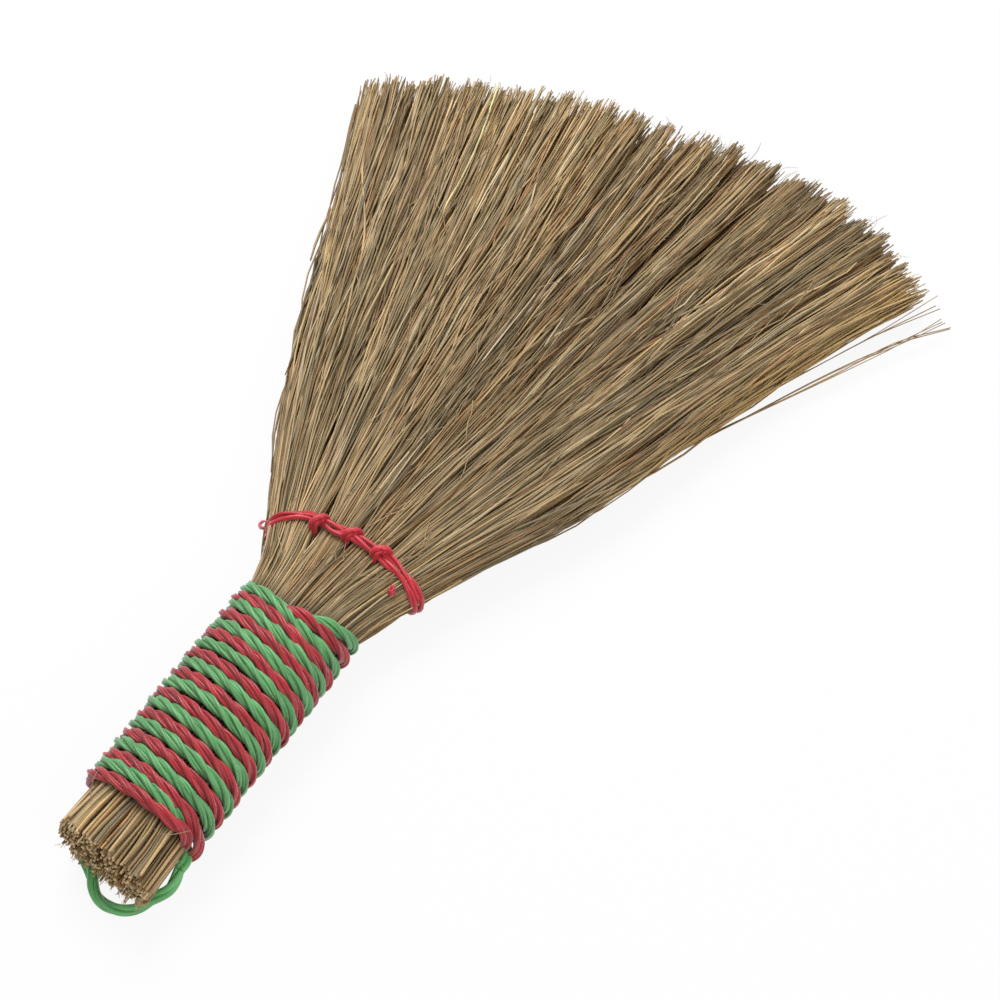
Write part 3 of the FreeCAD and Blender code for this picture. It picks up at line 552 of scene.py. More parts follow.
def long_stems():
    """Stems that run whole from the cut butt end to the tips."""
    u, v = packed_shares(1.0)
    count = len(u)
    start = BUTT_Y + 3.2 - 3.0 * u + rng.normal(0.0, 0.9, count) + 0.8 * np.abs(v)
    stop = stem_ends(u, v, 3.0)
    inside = np.array([-172.0, -166.0, -160.0, -120.0, -86.0, -76.0, -69.0, -62.0, -55.0, -49.0, -43.0, -36.0,
                       -28.0])
    outside = np.concatenate([np.linspace(0.06, 0.9, 16), [0.96, 1.0]])
    y = run_on(np.stack([start, start + 0.6], axis=1), inside, stop, outside)
    lines = stem_lines(u[:, None], v[:, None], y, (u, v), 0.8)
    loose_end = smoothstep(WRAP_END_Y - 2.0, BUTT_Y, y)
    bunch = np.sin(u * 31.0 + 2.0 * v)
    lines[..., 0] += loose_end * (rng.normal(0.0, 0.4, (count, 1)) + 0.35 * bunch[:, None])
    lines[..., 2] += loose_end * rng.normal(0.0, 0.45, (count, 1))
    radii = stem_radii(y, 0.44, 0.09, (0.26, 0.62), [1.0, 0.95, 0.64, 0.62, 0.68, 0.62, 0.55])
    colours = stem_colours(u, v, y)
    colours[:, 0] = CUT_END * rng.normal(1.0, 0.2, (count, 1))
    return lines, radii, STEM_SIDES, colours, u, v


def neck_stems(amount):
    """Thinner stems that start under the grip and fill the neck and the fan."""
    u = np.linspace(-0.99, 0.99, amount) + rng.normal(0.0, 0.006, amount)
    v = rng.uniform(-1.0, 1.0, amount)
    v = np.sign(v) * np.abs(v) ** 0.6
    start = rng.uniform(-92.0, -80.0, amount)
    stop = stem_ends(u, v, 3.0)
    inside = np.array([-76.0, -70.0, -64.0, -58.0, -52.0, -46.0, -40.0, -34.0, -27.0])
    outside = np.concatenate([np.linspace(0.07, 0.9, 15), [0.96, 1.0]])
    y = run_on(start[:, None], inside, stop, outside)
    skew = rng.normal(0.0, 0.045, amount)[:, None] * smoothstep(-20.0, -80.0, y)
    skew = skew + rng.normal(0.0, 0.02, amount)[:, None] * smoothstep(0.1, 0.8, fan_share(y))
    stray = np.where(rng.uniform(size=amount) < 0.14, 2.2, 1.0)[:, None]
    lines = stem_lines(u[:, None] + skew, v[:, None], y, (u, v), stray)
    radii = stem_radii(y, 0.27, 0.06, (0.16, 0.44), [0.9, 0.95, 1.1, 1.0, 0.85])
    return lines, radii, STEM_SIDES, stem_colours(u, v, y), u, v


def branch_stems(amount):
    """Side shoots that leave other stems above the stitching."""
    u = np.linspace(-0.985, 0.985, amount) + rng.normal(0.0, 0.01, amount)
    v = rng.uniform(-1.0, 1.0, amount)
    v = np.sign(v) * np.abs(v) ** 0.7
    start = rng.uniform(-60.0, 70.0, amount)
    stop = stem_ends(u, v, 4.0)
    share = np.concatenate([np.linspace(0.0, 0.9, 12), [0.96, 1.0]])
    y = start[:, None] + (stop - start)[:, None] * share
    grown = smoothstep(0.0, 0.55, share)
    u_root = (u + rng.normal(0.0, 0.06, amount))[:, None]
    v_root = (v * 0.8)[:, None]
    stray = np.where(rng.uniform(size=amount) < 0.14, 2.0, 1.1)[:, None]
    lines = stem_lines(u_root + (u[:, None] - u_root) * grown, v_root + (v[:, None] - v_root) * grown, y, (u, v),
                       stray)
    radii = stem_radii(y, 0.3, 0.07, (0.16, 0.5), [1.0, 1.0, 0.9, 0.75])
    radii[:, 0] *= 0.6
    return lines, radii, STEM_SIDES, stem_colours(u, v, y), u, v


def inner_stems(amount):
    """Thicker stems in the heart of the bundle, which end short of the tips."""
    u = np.linspace(-0.96, 0.96, amount) + rng.normal(0.0, 0.01, amount)
    v = rng.uniform(-0.55, 0.55, amount)
    start = rng.uniform(-80.0, -60.0, amount)
    stop = np.interp(u, TIP_SHARES, TIP_ENDS) - rng.uniform(5.0, 16.0, amount)
    share = np.linspace(0.0, 1.0, 15)
    y = start[:, None] + (stop - start)[:, None] * share
    lines = stem_lines(u[:, None], v[:, None], y, (u, v), 0.7)
    taper = np.interp(share, [0.0, 0.85, 1.0], [0.8, 1.0, 0.6])
    radii = np.clip(rng.normal(0.6, 0.08, amount), 0.4, 0.8)[:, None] * taper
    return lines, radii, STEM_SIDES, stem_colours(u, v, y), u, v


def loose_hairs(amount):
    """Broken hairs that lie across the face of the fan, each with a kink."""
    u = rng.uniform(-0.8, 0.8, amount)
    middle = np.where(rng.uniform(size=amount) < 0.3, rng.uniform(-58.0, -25.0, amount),
                      rng.uniform(-30.0, 160.0, amount))
    length = rng.uniform(5.0, 18.0, amount)
    lean = np.arctan(u * FAN_SLOPE) + rng.choice([-1.0, 1.0], amount) * rng.uniform(0.1, 0.6, amount)
    along = np.array([-0.5, -0.25, 0.0, 0.2, 0.5])
    y = middle[:, None] + length[:, None] * np.cos(lean)[:, None] * along
    x, _ = bundle_point(u, np.ones(amount), middle)
    x = x[:, None] + length[:, None] * np.sin(lean)[:, None] * along
    x[:, 3:] += rng.normal(0.0, 0.8, (amount, 1))
    share = np.clip(x / half_width(y), -0.97, 0.97)
    z = bundle_point(share, np.ones_like(y), y)[1] + rng.uniform(0.2, 0.8, (amount, 1))
    return *hairs(x, y, z, (0.09, 0.16), [1.0] * 5, HAIR, 1.0, 0.12), u, np.ones(amount)


def tip_hairs(amount):
    """Fine hairs that curl a little past the tips."""
    u = rng.uniform(-0.97, 0.97, amount)
    v = rng.uniform(-0.6, 1.0, amount)
    along = np.array([-14.0, -8.0, -3.0, 0.0, 0.35, 0.7, 1.0])
    past = np.maximum(along, 0.0)
    reach = rng.uniform(1.5, 6.5, (amount, 1))
    y = np.interp(u, TIP_SHARES, TIP_ENDS)[:, None] + np.minimum(along, 0.0) + past * reach
    x, z = bundle_point(u[:, None], v[:, None], y)
    x = x + past ** 2 * rng.normal(0.0, 1.8, (amount, 1))
    z = np.maximum(z + past ** 2 * rng.normal(0.0, 1.0, (amount, 1)), 0.4)
    return *hairs(x, y, z, (0.08, 0.14), [1.0, 1.0, 1.0, 1.0, 0.9, 0.75, 0.5], HAIR, 0.85, 0.12), u, v


def grip_hairs():
    """Two hairs that stick out where the binding ends."""
    routes = [[(-15.8, -157.2, 24.0), (-14.7, -161.7, 24.3), (-11.3, -167.2, 24.6), (-8.8, -169.5, 24.8)],
              [(10.6, -165.5, 24.4), (12.8, -165.9, 24.4), (15.7, -164.6, 24.2), (20.0, -160.2, 24.0)]]
    lines = np.array([curved(route, 1.0)[:12] for route in routes])
    radii = np.full(lines.shape[:2], 0.12)
    colours = np.broadcast_to(HAIR, lines.shape) * 0.8
    return lines, radii, HAIR_SIDES, colours, np.array([-0.8, 0.8]), np.ones(2)


def butt_fibres(amount):
    """Fine fibres that fray from the lower edge of the cut butt end."""
    u = rng.uniform(-0.9, 0.9, amount)
    v = rng.uniform(-1.0, -0.2, amount)
    reach = rng.uniform(0.6, 2.8, amount)[:, None]
    along = np.array([-3.0, 0.0, 0.5, 1.0])
    start = (BUTT_Y + 3.0 - 3.0 * u)[:, None]
    y = start - np.where(along < 0.0, along, along * reach)
    x, z = bundle_point(u, v, np.full(amount, BUTT_Y))
    out = np.maximum(along, 0.0)
    x = x[:, None] + out * rng.normal(0.0, 0.8, (amount, 1))
    z = np.maximum(z[:, None] - out * rng.uniform(0.0, 1.2, (amount, 1)), 0.3)
    return *hairs(x, y, z, (0.09, 0.17), [1.0, 1.0, 0.8, 0.4], CUT_END, 1.0, 0.15), u, v


def edge_wisps():
    """A few long stems that stand off the right edge."""
    upper = [(22.0, -42.0, 11.0), (42.0, 8.0, 9.5), (66.6, 63.7, 6.0), (85.8, 106.1, 5.0), (98.0, 132.1, 5.0),
             (111.6, 157.6, 5.0)]
    lower = [(22.0, -42.0, 9.0), (42.0, 6.0, 7.0), (69.0, 60.0, 4.5), (92.6, 108.1, 4.5), (106.0, 133.5, 4.5),
             (117.0, 150.0, 4.5)]
    lines = []
    places = np.linspace(0.0, len(upper) - 1.0, 22)
    for route in [upper] * 3 + [lower] * 5:
        points = np.array(route) + rng.normal(0.0, 0.5, (len(route), 3)) * [1.0, 0.0, 0.5]
        points[-1] += rng.normal(0.0, 1.0, 3) * [1.6, 3.0, 0.5]
        lines.append(smooth_through(places, points))
    lines = np.array(lines)
    count = len(lines)
    radii = rng.uniform(0.2, 0.3, (count, 1)) * np.linspace(1.0, 0.7, len(places))
    colours = plain_colours(WISP, 1.0, 0.1, radii.shape)
    return lines, radii, STEM_SIDES, colours, np.ones(count), -np.ones(count)


TUFTS = ["straw_tuft_left", "straw_tuft_mid_left", "straw_tuft_mid_right", "straw_tuft_right"]


def build_straw():
    """Make the stems of each tuft, front and back."""
    kinds = [long_stems(), neck_stems(amount=1900), branch_stems(amount=2900), inner_stems(amount=700),
             loose_hairs(amount=45), tip_hairs(amount=70), grip_hairs(), butt_fibres(amount=90), edge_wisps()]
    bounds = np.tan(SPLITS) / FAN_SLOPE
    upward = np.array([0.0, 0.0, 1.0])
    for index, node in enumerate(TUFTS):
        for face, sign in (("front", 1.0), ("back", -1.0)):
            groups = []
            for lines, radii, sides, colours, u, v in kinds:
                own = (np.searchsorted(bounds, u) == index) & (np.where(v >= 0.0, 1.0, -1.0) == sign)
                if own.any():
                    groups.append((lines[own], radii[own], sides, upward, colours[own]))
            piece = strand_mesh(f"{node}_stems_{face}", groups, STRAW)
            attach(piece, "broom")
            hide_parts(node)


# Cords: twisted plies along a line

def twisted(centre, axes, plies, strands, lay, ply_reach, strand_reach, strand_turns=1.0, flat=1.0, phase=0.0):
    """Return the lines of the strands of a twisted cord, from its centre line and two cross axes."""
    def off(turn):
        return axes[0] * flat * np.cos(turn)[:, None] + axes[1] / flat * np.sin(turn)[:, None]

    walked = walked_along(centre)
    lines = []
    for ply in range(plies):
        turn = math.tau * (walked / lay + ply / plies + phase)
        ply_line = centre + off(turn) * ply_reach
        for strand in range(strands):
            own = turn * strand_turns + math.tau * strand / strands
            lines.append(ply_line + off(own) * strand_reach)
    return np.array(lines)


def spaced(points, step):
    """Place points evenly along a line."""
    walked = walked_along(points)
    count = max(4, int(walked[-1] / step) + 1)
    places = np.linspace(0.0, walked[-1], count)
    return np.stack([np.interp(places, walked, points[:, axis]) for axis in range(3)], axis=1)


def carried_axes(points):
    """Return two cross axes carried along a line without twisting."""
    tangent = unit(np.gradient(points, axis=0))
    start = np.cross(tangent[0], [0.0, 0.0, 1.0] if abs(tangent[0][2]) < 0.8 else [1.0, 0.0, 0.0])
    first = [unit(start)]
    for way in tangent[1:]:
        first.append(unit(first[-1] - way * np.dot(first[-1], way)))
    first = np.array(first)
    return first, np.cross(tangent, first)


def curved(points, step):
    """Return a smooth line through points, with even steps."""
    points = np.array(points, float)
    places = np.linspace(0.0, len(points) - 1.0, 40 * len(points))
    return spaced(smooth_through(places, points), step)


def strand_piece(name, lines, radius, colour, rows, seed, reference=(0.0, 1.0, 0.0)):
    """Make one object of the strands of a cord, each a little different."""
    own = np.random.default_rng(seed)
    radii = np.full(lines.shape[:2], radius) * own.normal(1.0, 0.05, (len(lines), 1))
    tone = own.normal(1.0, 0.08, (len(lines), 1, 1))
    colours = np.clip(np.broadcast_to(colour, lines.shape) * tone, 0.0, 0.95)
    piece = strand_mesh(name, [(lines, radii, CORD_SIDES, np.array(reference), colours)], TWINE, rows)
    return piece


def oval_quarter(half_wide, half_high, end_radius, count):
    """Return a quarter of an oval of four arcs, from its right side to its top or bottom."""
    run = half_wide - end_radius
    rise = half_high - end_radius
    side_radius = (run * run + half_high ** 2 - end_radius ** 2) / (2.0 * rise)
    half_turn = math.atan2(run, side_radius - half_high)
    end_length = end_radius * (math.pi / 2.0 - half_turn)
    place = np.linspace(0.0, 1.0, count) * (end_length + side_radius * half_turn)
    end_angle = np.minimum(place, end_length) / end_radius
    side_angle = half_turn - np.maximum(place - end_length, 0.0) / side_radius
    on_end = place < end_length
    x = np.where(on_end, run + end_radius * np.cos(end_angle), side_radius * np.sin(side_angle))
    z = np.where(on_end, end_radius * np.sin(end_angle),
                 side_radius * np.cos(side_angle) - (side_radius - half_high))
    return x, z


# Grip

QUARTER_STEPS = 33
WINDING_STEP = 0.02
GRIP_WINDOW = 0.09
GRIP_SPACING = 0.85
CORD_SEAT = CORD_CLEARANCE + CORD_DIAMETER / 2.0
OVAL_X, OVAL_Z = oval_quarter(CORE_HALF_WIDTH + CORD_SEAT, CORE_HALF_HEIGHT + CORD_SEAT,
                              EDGE_ROUNDNESS * CORE_HALF_HEIGHT + CORD_SEAT, QUARTER_STEPS)
# Turns of the grip as they lie: way along per quarter turn, and how much more of it falls on the front
QUARTER_ADVANCE = 2.15
FRONT_SWING = 1.85
FIRST_TURN_Y = -72.3
RED_BEHIND = -4.5
LAST_QUARTER = 4.0 * CORD_TURNS - 1.0


def round_grip(quarters):
    """Place points on the grip's oval after so many quarter turns from its right side, going down."""
    quadrant = np.floor(quarters).astype(int) % 4
    within = quarters - np.floor(quarters)
    forward = np.where(quadrant % 2 == 0, within, 1.0 - within) * (QUARTER_STEPS - 1)
    grid = np.arange(QUARTER_STEPS)
    x = np.interp(forward, grid, OVAL_X)
    z = np.interp(forward, grid, OVAL_Z)
    x = np.where((quadrant == 1) | (quadrant == 2), -x, x)
    z = np.where(quadrant < 2, -z, z)
    return x, z


def winding_y(quarters):
    """Return how far along the grip an even winding has come."""
    return FIRST_TURN_Y - QUARTER_ADVANCE * quarters - FRONT_SWING * np.cos(quarters * math.pi / 2.0)


def wobble(quarters, amount, seed):
    """Return a gentle unevenness of a winding."""
    own = np.random.default_rng(seed)
    first = math.floor(quarters[0]) - 1
    values = own.normal(0.0, amount, math.ceil(quarters[-1]) - first + 3)
    low = np.floor(quarters).astype(int)
    share = smoothstep(0.0, 1.0, quarters - low)
    return values[low - first] * (1.0 - share) + values[low - first + 1] * share


def grip_line(begin, finish, behind, start, shifts, lifts, seed):
    """Return a grip cord's centre line: even turns, with its start, shifts along and lifts off the straw."""
    quarters = np.arange(begin, finish, WINDING_STEP)
    places = np.array(start[0])
    own_start = np.array(start[1]) - winding_y(places) - behind
    y = winding_y(quarters) + behind + smooth_table(quarters, places, own_start, GRIP_WINDOW)
    y = y + smooth_table(quarters, *shifts, GRIP_WINDOW)
    y = y + wobble(quarters, 0.2, seed) * smoothstep(1.0, 2.0, quarters)
    lift = smooth_table(quarters, *lifts, GRIP_WINDOW) + np.abs(wobble(quarters, 0.18, seed + 1))
    x, z = round_grip(quarters)
    outward = unit(np.stack([x / (CORE_HALF_WIDTH + CORD_SEAT) ** 2, np.zeros_like(x),
                             z / (CORE_HALF_HEIGHT + CORD_SEAT) ** 2], axis=1))
    return np.stack([x, y, z + GRIP_Z], axis=1) + outward * lift[:, None]


def grip_axes(points):
    """Return cross axes of a grip cord: away from the straw, and along the grip."""
    tangent = unit(np.gradient(points, axis=0))
    out = unit(np.cross([0.0, 1.0, 0.0], tangent))
    return out, np.cross(tangent, out)


GRIP_TWIST = {"plies": 3, "strands": 3, "lay": 27.0, "ply_reach": 1.08, "strand_reach": 0.44, "strand_turns": 1.2,
              "flat": 0.95}
GRIP_STRAND = 0.62


def build_grip():
    """Wind the green and the red cord round the grip. Places on it are counted in quarter turns."""
    last = LAST_QUARTER
    green = grip_line(
        -1.2, last + 0.8, 0.0, seed=3,
        start=([-1.2, -0.85, -0.61, -0.44, -0.22, 0.09, 0.3, 1.0, 2.15],
               [-82.4, -80.1, -78.5, -76.9, -75.8, -73.5, -73.0, -73.8, float(winding_y(2.15))]),
        shifts=([1.8, 2.16, 2.55, 2.85, 3.1, 3.33, 3.56, 3.79, 4.15, 4.6, 5.8, 6.16, 6.5, 6.87, 7.23, 7.55, 7.82,
                 8.15, 8.8, 10.4, 10.9, 11.3, 11.7, 12.2, last - 0.9, last - 0.5, last, last + 0.6],
                [0.0, -0.8, -1.3, -1.8, -2.8, -3.4, -3.3, -2.9, -1.6, -0.6, 0.0, -0.3, -0.5, -1.3, -2.0, -2.2, -1.9,
                 -0.8, 0.0, 0.0, -0.4, -0.8, -0.8, 0.0, 0.0, 0.5, 1.1, 1.4]),
        lifts=([-1.2, -0.85, -0.61, -0.4, last + 0.3, last + 0.6, last + 0.8],
               [-4.0, -2.4, -0.4, 0.0, 0.0, -1.6, -3.0]))
    red = grip_line(
        -1.5, last + 0.95, RED_BEHIND, seed=5,
        start=([-1.5, -1.15, -0.96, -0.77, -0.56, -0.31, -0.13, 0.15, 1.0, 2.15],
               [-84.2, -81.5, -80.4, -80.0, -80.3, -80.9, -80.4, -78.8, -78.1, float(winding_y(2.15)) + RED_BEHIND]),
        shifts=([1.8, 2.16, 2.5, 2.92, 3.23, 3.48, 3.73, 4.15, 4.8, 6.0, 6.6, 6.96, 7.3, 7.62, 8.15, 9.0, 11.0, 11.4,
                 11.8, 12.2, last - 3.4, last - 3.0, last - 2.84, last - 2.7, last - 2.5, last - 2.0, last - 1.4,
                 last - 0.9, last - 0.4, last, last + 0.8],
                [0.0, -0.9, -1.2, -1.9, -2.5, -2.9, -2.8, -1.5, -0.4, 0.0, -0.5, -0.8, -1.2, -1.4, -0.5, 0.0, 0.0,
                 -0.5, -0.5, 0.0, 0.0, -2.2, -3.0, -3.5, -3.6, -2.4, -0.8, 0.0, 0.9, 1.9, 3.4]),
        lifts=([-1.5, -1.15, -0.96, -0.8, last - 3.4, last - 3.0, last - 2.8, last - 2.5, last - 2.0, last + 0.3,
                last + 0.7, last + 0.82, last + 0.95],
               [-4.0, -2.4, -0.4, 0.2, 0.0, 0.4, 0.6, 0.35, 0.0, 0.0, 0.9, -0.6, -3.0]))
    for name, points, colour, slot, seed in (("green_grip_cord", green, GREEN, "green_twine", 11),
                                             ("red_grip_cord", red, RED, "red_twine", 12)):
        points = spaced(points, GRIP_SPACING)
        lines = twisted(points, grip_axes(points), **GRIP_TWIST)
        lines[..., 2] = np.maximum(lines[..., 2], GRIP_STRAND)
        piece = strand_piece(name + "_plies", lines, GRIP_STRAND, colour, 40, seed)
        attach(piece, "broom")
        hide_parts(name)


# Hanging loop

LOOP_TWIST = {"plies": 1, "strands": 3, "lay": 34.0, "ply_reach": 0.0, "strand_reach": 0.94, "phase": 0.1}
LOOP_STRAND = 1.04
LOOP_SPACING = 0.6
# How far out the left and the right leg bow above their pivots
LEFT_BOW = 16.2
RIGHT_BOW = 18.4


def spline_points(control, name):
    """Return points along the smooth spline that a route controls."""
    curve = bpy.data.curves.new(name, "CURVE")
    curve.dimensions = "3D"
    spline = curve.splines.new("NURBS")
    spline.points.add(len(control) - 1)
    for point, place in zip(spline.points, control):
        point.co = (*[value * MM for value in place], 1.0)
    spline.order_u = 3
    spline.use_endpoint_u = True
    spline.resolution_u = 24
    carrier = bpy.data.objects.new(name, curve)
    mesh = bpy.data.meshes.new_from_object(carrier)
    points = np.array([vertex.co for vertex in mesh.vertices]) / MM
    bpy.data.objects.remove(carrier)
    bpy.data.curves.remove(curve)
    bpy.data.meshes.remove(mesh)
    return points


def leg_line(side, bow):
    """Return the line of a leg of the loop, from under the grip to its pivot, bowed out above the pivot."""
    return spline_points([(side * 13.8, -132.0, 10.4), (side * 13.9, -150.0, 10.4), (side * 14.4, -158.0, 10.1),
                          (side * bow, -161.6, 8.7), (side * PIVOT_X, PIVOT_Y, PIVOT_Z)], "leg_route")


def build_loop():
    """Twist the strands of the free loop and of its two legs under the grip, as one run of cord."""
    left, right = (-PIVOT_X, PIVOT_Y, PIVOT_Z), (PIVOT_X, PIVOT_Y, PIVOT_Z)
    control = [left] + [(x, PIVOT_Y + y, z) for x, y, z in LOOP_ROUTE] + [right]
    runs = [spaced(route, LOOP_SPACING) for route in (leg_line(-1.0, LEFT_BOW), spline_points(control, "loop_route"),
                                                      leg_line(1.0, RIGHT_BOW)[::-1])]
    whole = np.concatenate([runs[0][:-1], runs[1], runs[2][1:]])
    lines = twisted(whole, carried_axes(whole), **LOOP_TWIST)
    lines[..., 2] = np.maximum(lines[..., 2], LOOP_STRAND)
    first, last = len(runs[0]) - 1, len(runs[0]) + len(runs[1]) - 2
    for name, body, own, rows in (("loop_leg_left", "broom", lines[:, :first + 1], 3),
                                  ("hanging_loop", "loop", lines[:, first:last + 1], 4),
                                  ("loop_leg_right", "broom", lines[:, last:], 3)):
        piece = strand_piece(name + "_strands", own, LOOP_STRAND, LOOP_GREEN, rows, 21,
                             (0.3, 0.2, 0.93))
        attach(piece, body)
        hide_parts(name)


# Stitching

TWINE_TWIST = {"plies": 1, "strands": 2, "lay": 30.0, "ply_reach": 0.0, "strand_reach": 0.6}
TWINE_STRAND = 0.74
TWINE_SEAT = CORD_CLEARANCE + TWINE_DIAMETER / 2.0
WAIST_HALF_HEIGHT = 8.5
# Reach of the ties across the lashing and through the straw
TIE_REACH = 2.1
TIE_HALF_HEIGHT = 11.6
# Cut end of the twine: its place from the apex of the fan, and its coil
CUT_END_ANGLE = math.radians(22.2)
CUT_END_RADIUS = STITCH_RADIUS - 6.6
CUT_END_COIL = 0.65


def lashing_line():
    """Return the line of the lashing: two turns round the fan's waist, close together on the left."""
    half_wide = STITCH_RADIUS * math.sin(FAN_ANGLE) + TWINE_SEAT * math.cos(FAN_ANGLE)
    x_quarter, z_quarter = oval_quarter(half_wide, WAIST_HALF_HEIGHT + TWINE_SEAT,
                                        EDGE_ROUNDNESS * WAIST_HALF_HEIGHT + TWINE_SEAT, 60)
    turn_x = np.concatenate([-x_quarter, x_quarter[::-1], x_quarter, -x_quarter[::-1]])
    turn_z = np.concatenate([z_quarter, z_quarter[::-1], -z_quarter, -z_quarter[::-1]])
    share = np.concatenate([np.linspace(k, k + 1, 60) for k in range(4)]) / 4.0
    lines = []
    for turn in range(2):
        step = (share + turn - 0.9) * TWINE_SPACING
        angle = np.arcsin(np.clip(turn_x / STITCH_RADIUS, -1.0, 1.0))
        open_share = 0.7 + 0.3 * smoothstep(-0.25, 0.2, angle)
        pinch = sum(np.exp(-((angle - split) / 0.05) ** 2) for split in SPLITS)
        ripple = angle * 21.0 + turn * math.pi
        step = step * open_share * (1.0 - 0.4 * pinch) + 0.25 * np.sin(ripple)
        rise = 2.7 * np.exp(-((angle + 0.27) / 0.11) ** 2) * (turn_z > 0.0)
        radius = STITCH_RADIUS + step + rise
        lift = 0.35 * np.cos(ripple) + 0.25
        lines.append(np.stack([radius * np.sin(angle), APEX_Y + radius * np.cos(angle),
                               STITCH_Z + turn_z + np.sign(turn_z) * lift], axis=1))
    return spaced(np.concatenate(lines), 0.7)


def tie_line(split):
    """Return the line of a tie: two slanting wraps over the lashing, down through the slot and round the back."""
    outward = np.array([math.sin(split), math.cos(split), 0.0])
    across = np.array([math.cos(split), -math.sin(split), 0.0])
    centre = np.array([0.0, APEX_Y, STITCH_Z]) + outward * STITCH_RADIUS
    turn = np.linspace(-0.5, 4.5, 260) * math.pi
    reach = np.sign(np.cos(turn)) * np.abs(np.cos(turn)) ** 0.5
    height = np.sign(np.sin(turn)) * np.abs(np.sin(turn)) ** 0.3 * TIE_HALF_HEIGHT
    slide = 1.3 * reach * np.sign(np.sin(turn)) + np.interp(turn, [turn[0], turn[-1]], [-0.7, 0.7])
    points = centre + outward * (TIE_REACH * reach)[:, None] + across * slide[:, None]
    points[:, 2] += height
    return spaced(points, 0.5)


def build_stitching():
    """Lash the fan, tie the lashing between the tufts and leave its ends."""
    pieces = {"stitch_lashing": (lashing_line(), TWINE_TWIST, TWINE_STRAND, STITCH_RED, 8)}
    for hand, split in zip(("left", "middle", "right"), SPLITS):
        pieces[f"stitch_tie_{hand}"] = (tie_line(split), dict(TWINE_TWIST, lay=24.0), TWINE_STRAND, STITCH_RED, 4)
    tail = curved([(-29.2, -48.4, 15.2), (-30.8, -49.3, 15.2), (-31.2, -50.7, 15.0), (-30.2, -51.6, 14.8),
                   (-28.6, -50.9, 14.8), (-27.9, -51.9, 14.8), (-27.4, -53.4, 14.6), (-26.8, -55.0, 14.2)], 0.4)
    pieces["stitch_tail"] = (tail, dict(TWINE_TWIST, lay=9.0, strand_reach=0.3), 0.32, HIGHLIT_TAIL_RED, 2)
    middle_x = CUT_END_RADIUS * math.sin(CUT_END_ANGLE)
    middle_y = APEX_Y + CUT_END_RADIUS * math.cos(CUT_END_ANGLE)
    turn = np.linspace(0.0, 2.4, 60) * math.tau
    coil = np.stack([middle_x + CUT_END_COIL * np.cos(turn), middle_y + CUT_END_COIL * np.sin(turn),
                     np.linspace(19.6, 22.4, 60)], axis=1)
    pieces["stitch_cut_end"] = (spaced(coil, 0.3), dict(TWINE_TWIST, lay=9.0, strand_reach=0.2), 0.55, STITCH_RED, 2)
    for seed, (name, (points, twist, radius, colour, rows)) in enumerate(pieces.items(), 31):
        lines = twisted(points, carried_axes(points), **twist)
        piece = strand_piece(name + "_strands", lines, radius, colour, rows, seed, (0.12, 0.31, 0.94))
        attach(piece, "broom")
        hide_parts(name)


build_straw()
build_grip()
build_loop()
build_stitching()


# Floor, light and camera

WHITE = (1.0, 1.0, 1.0, 1.0)
FLOOR_HALF = 3.0
FLOOR_GREY = (0.8, 0.8, 0.8, 1.0)
# Share of plain white in the floor as it is seen; the rest keeps the shadow
FLOOR_WHITE_SHARE = 0.9
WORLD_GLOW = 0.42
# Lamps: place and size in metres, power in watts
LAMPS = [("key", (-0.55, 0.55, 1.15), 0.8, 17.0), ("fill", (0.9, -0.5, 0.9), 0.9, 5.5)]
CAMERA_AZIMUTH = math.radians(31.33)
CAMERA_ELEVATION = math.radians(52.0)
CAMERA_TARGET = Vector((0.0236, 0.0079, 0.0))
CAMERA_DISTANCE = 0.9268
CAMERA_LENS = 100.8


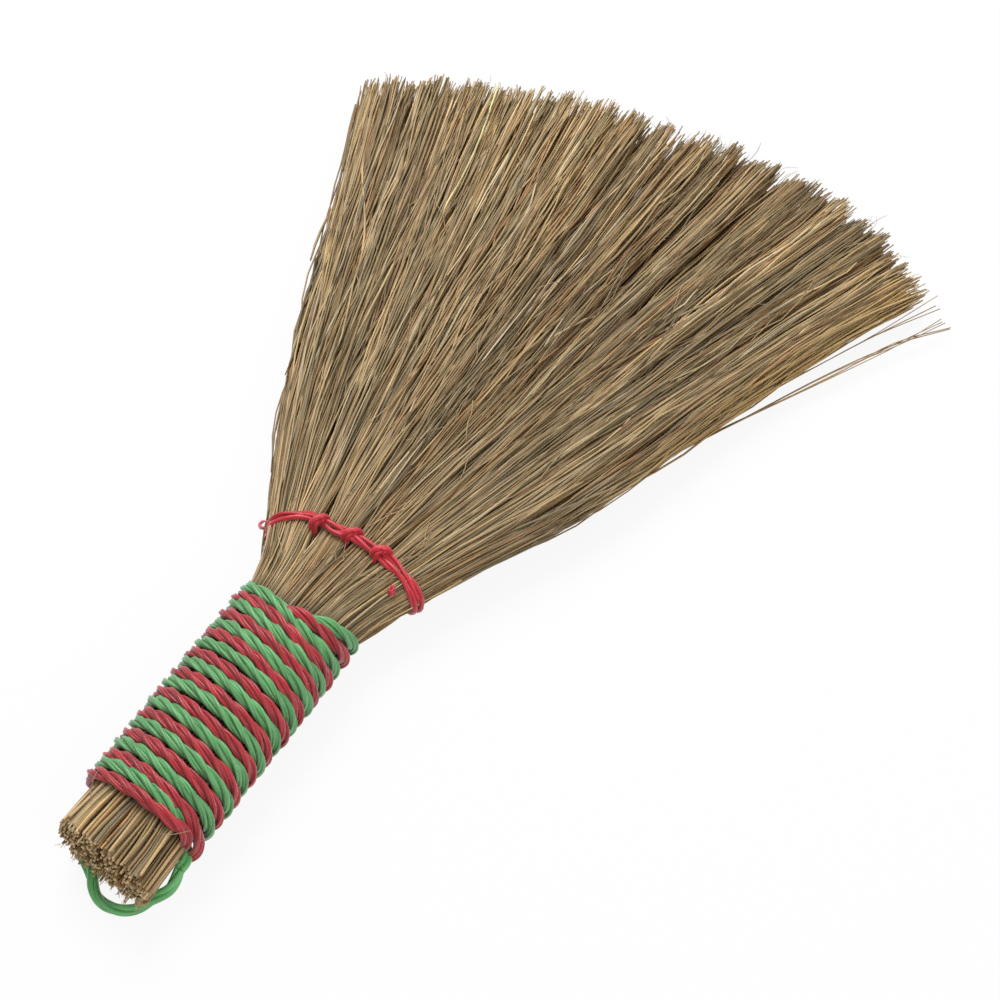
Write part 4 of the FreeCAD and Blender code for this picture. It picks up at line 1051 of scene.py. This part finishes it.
def floor_material():
    """Pale floor that looks white to the camera and keeps the shadow."""
    material = bpy.data.materials.new("pale_floor")
    tree = fresh_tree(material)
    path = add_node(tree, "ShaderNodeLightPath", {})
    seen = path.outputs["Is Camera Ray"]
    for other in ("Is Glossy Ray", "Is Transmission Ray"):
        seen = add_node(tree, "ShaderNodeMath", {0: seen, 1: path.outputs[other]}, operation="MAXIMUM").outputs[0]
    share = add_node(tree, "ShaderNodeMath", {0: seen, 1: FLOOR_WHITE_SHARE}, operation="MULTIPLY")
    matt = add_node(tree, "ShaderNodeBsdfDiffuse", {"Color": FLOOR_GREY})
    glow = add_node(tree, "ShaderNodeEmission", {"Color": WHITE, "Strength": 1.0})
    mix = add_node(tree, "ShaderNodeMixShader", {
        "Fac": share.outputs["Value"], 1: matt.outputs["BSDF"], 2: glow.outputs["Emission"]})
    add_node(tree, "ShaderNodeOutputMaterial", {"Surface": mix.outputs["Shader"]})
    return material


def build_floor():
    """Lay the floor under the broom."""
    mesh = bpy.data.meshes.new("floor")
    edges = (-FLOOR_HALF, FLOOR_HALF)
    mesh.from_pydata([(x, y, 0.0) for x in edges for y in edges], [], [(0, 2, 3, 1)])
    mesh.materials.append(floor_material())
    floor = add_object("floor", mesh)


def build_light():
    """Light the broom evenly, mostly from above and the upper left."""
    world = bpy.data.worlds.new("studio")
    bpy.context.scene.world = world
    tree = fresh_tree(world)
    path = add_node(tree, "ShaderNodeLightPath", {})
    glow = add_node(tree, "ShaderNodeBackground", {"Color": WHITE, "Strength": WORLD_GLOW})
    white = add_node(tree, "ShaderNodeBackground", {"Color": WHITE, "Strength": 1.0})
    mix = add_node(tree, "ShaderNodeMixShader", {
        "Fac": path.outputs["Is Camera Ray"], 1: glow.outputs["Background"], 2: white.outputs["Background"]})
    add_node(tree, "ShaderNodeOutputWorld", {"Surface": mix.outputs["Shader"]})
    for name, place, size, power in LAMPS:
        data = bpy.data.lights.new(name, "AREA")
        data.size = size
        data.energy = power
        lamp = add_object(name, data)
        lamp.location = place
        lamp.rotation_euler = (-Vector(place)).to_track_quat("-Z", "Y").to_euler()


def build_camera():
    """Stand the camera high at the front right, looking down on the broom."""
    level = math.cos(CAMERA_ELEVATION)
    back = Vector((math.sin(CAMERA_AZIMUTH) * level, -math.cos(CAMERA_AZIMUTH) * level, math.sin(CAMERA_ELEVATION)))
    data = bpy.data.cameras.new("camera")
    data.sensor_width = 36.0
    data.lens = CAMERA_LENS
    data.clip_start = 0.01
    camera = add_object("camera", data)
    camera.location = CAMERA_TARGET + back * CAMERA_DISTANCE
    camera.rotation_euler = (-back).to_track_quat("-Z", "Y").to_euler()
    bpy.context.scene.camera = camera


build_floor()
build_light()
build_camera()
bpy.context.scene.view_settings.view_transform = "Standard"
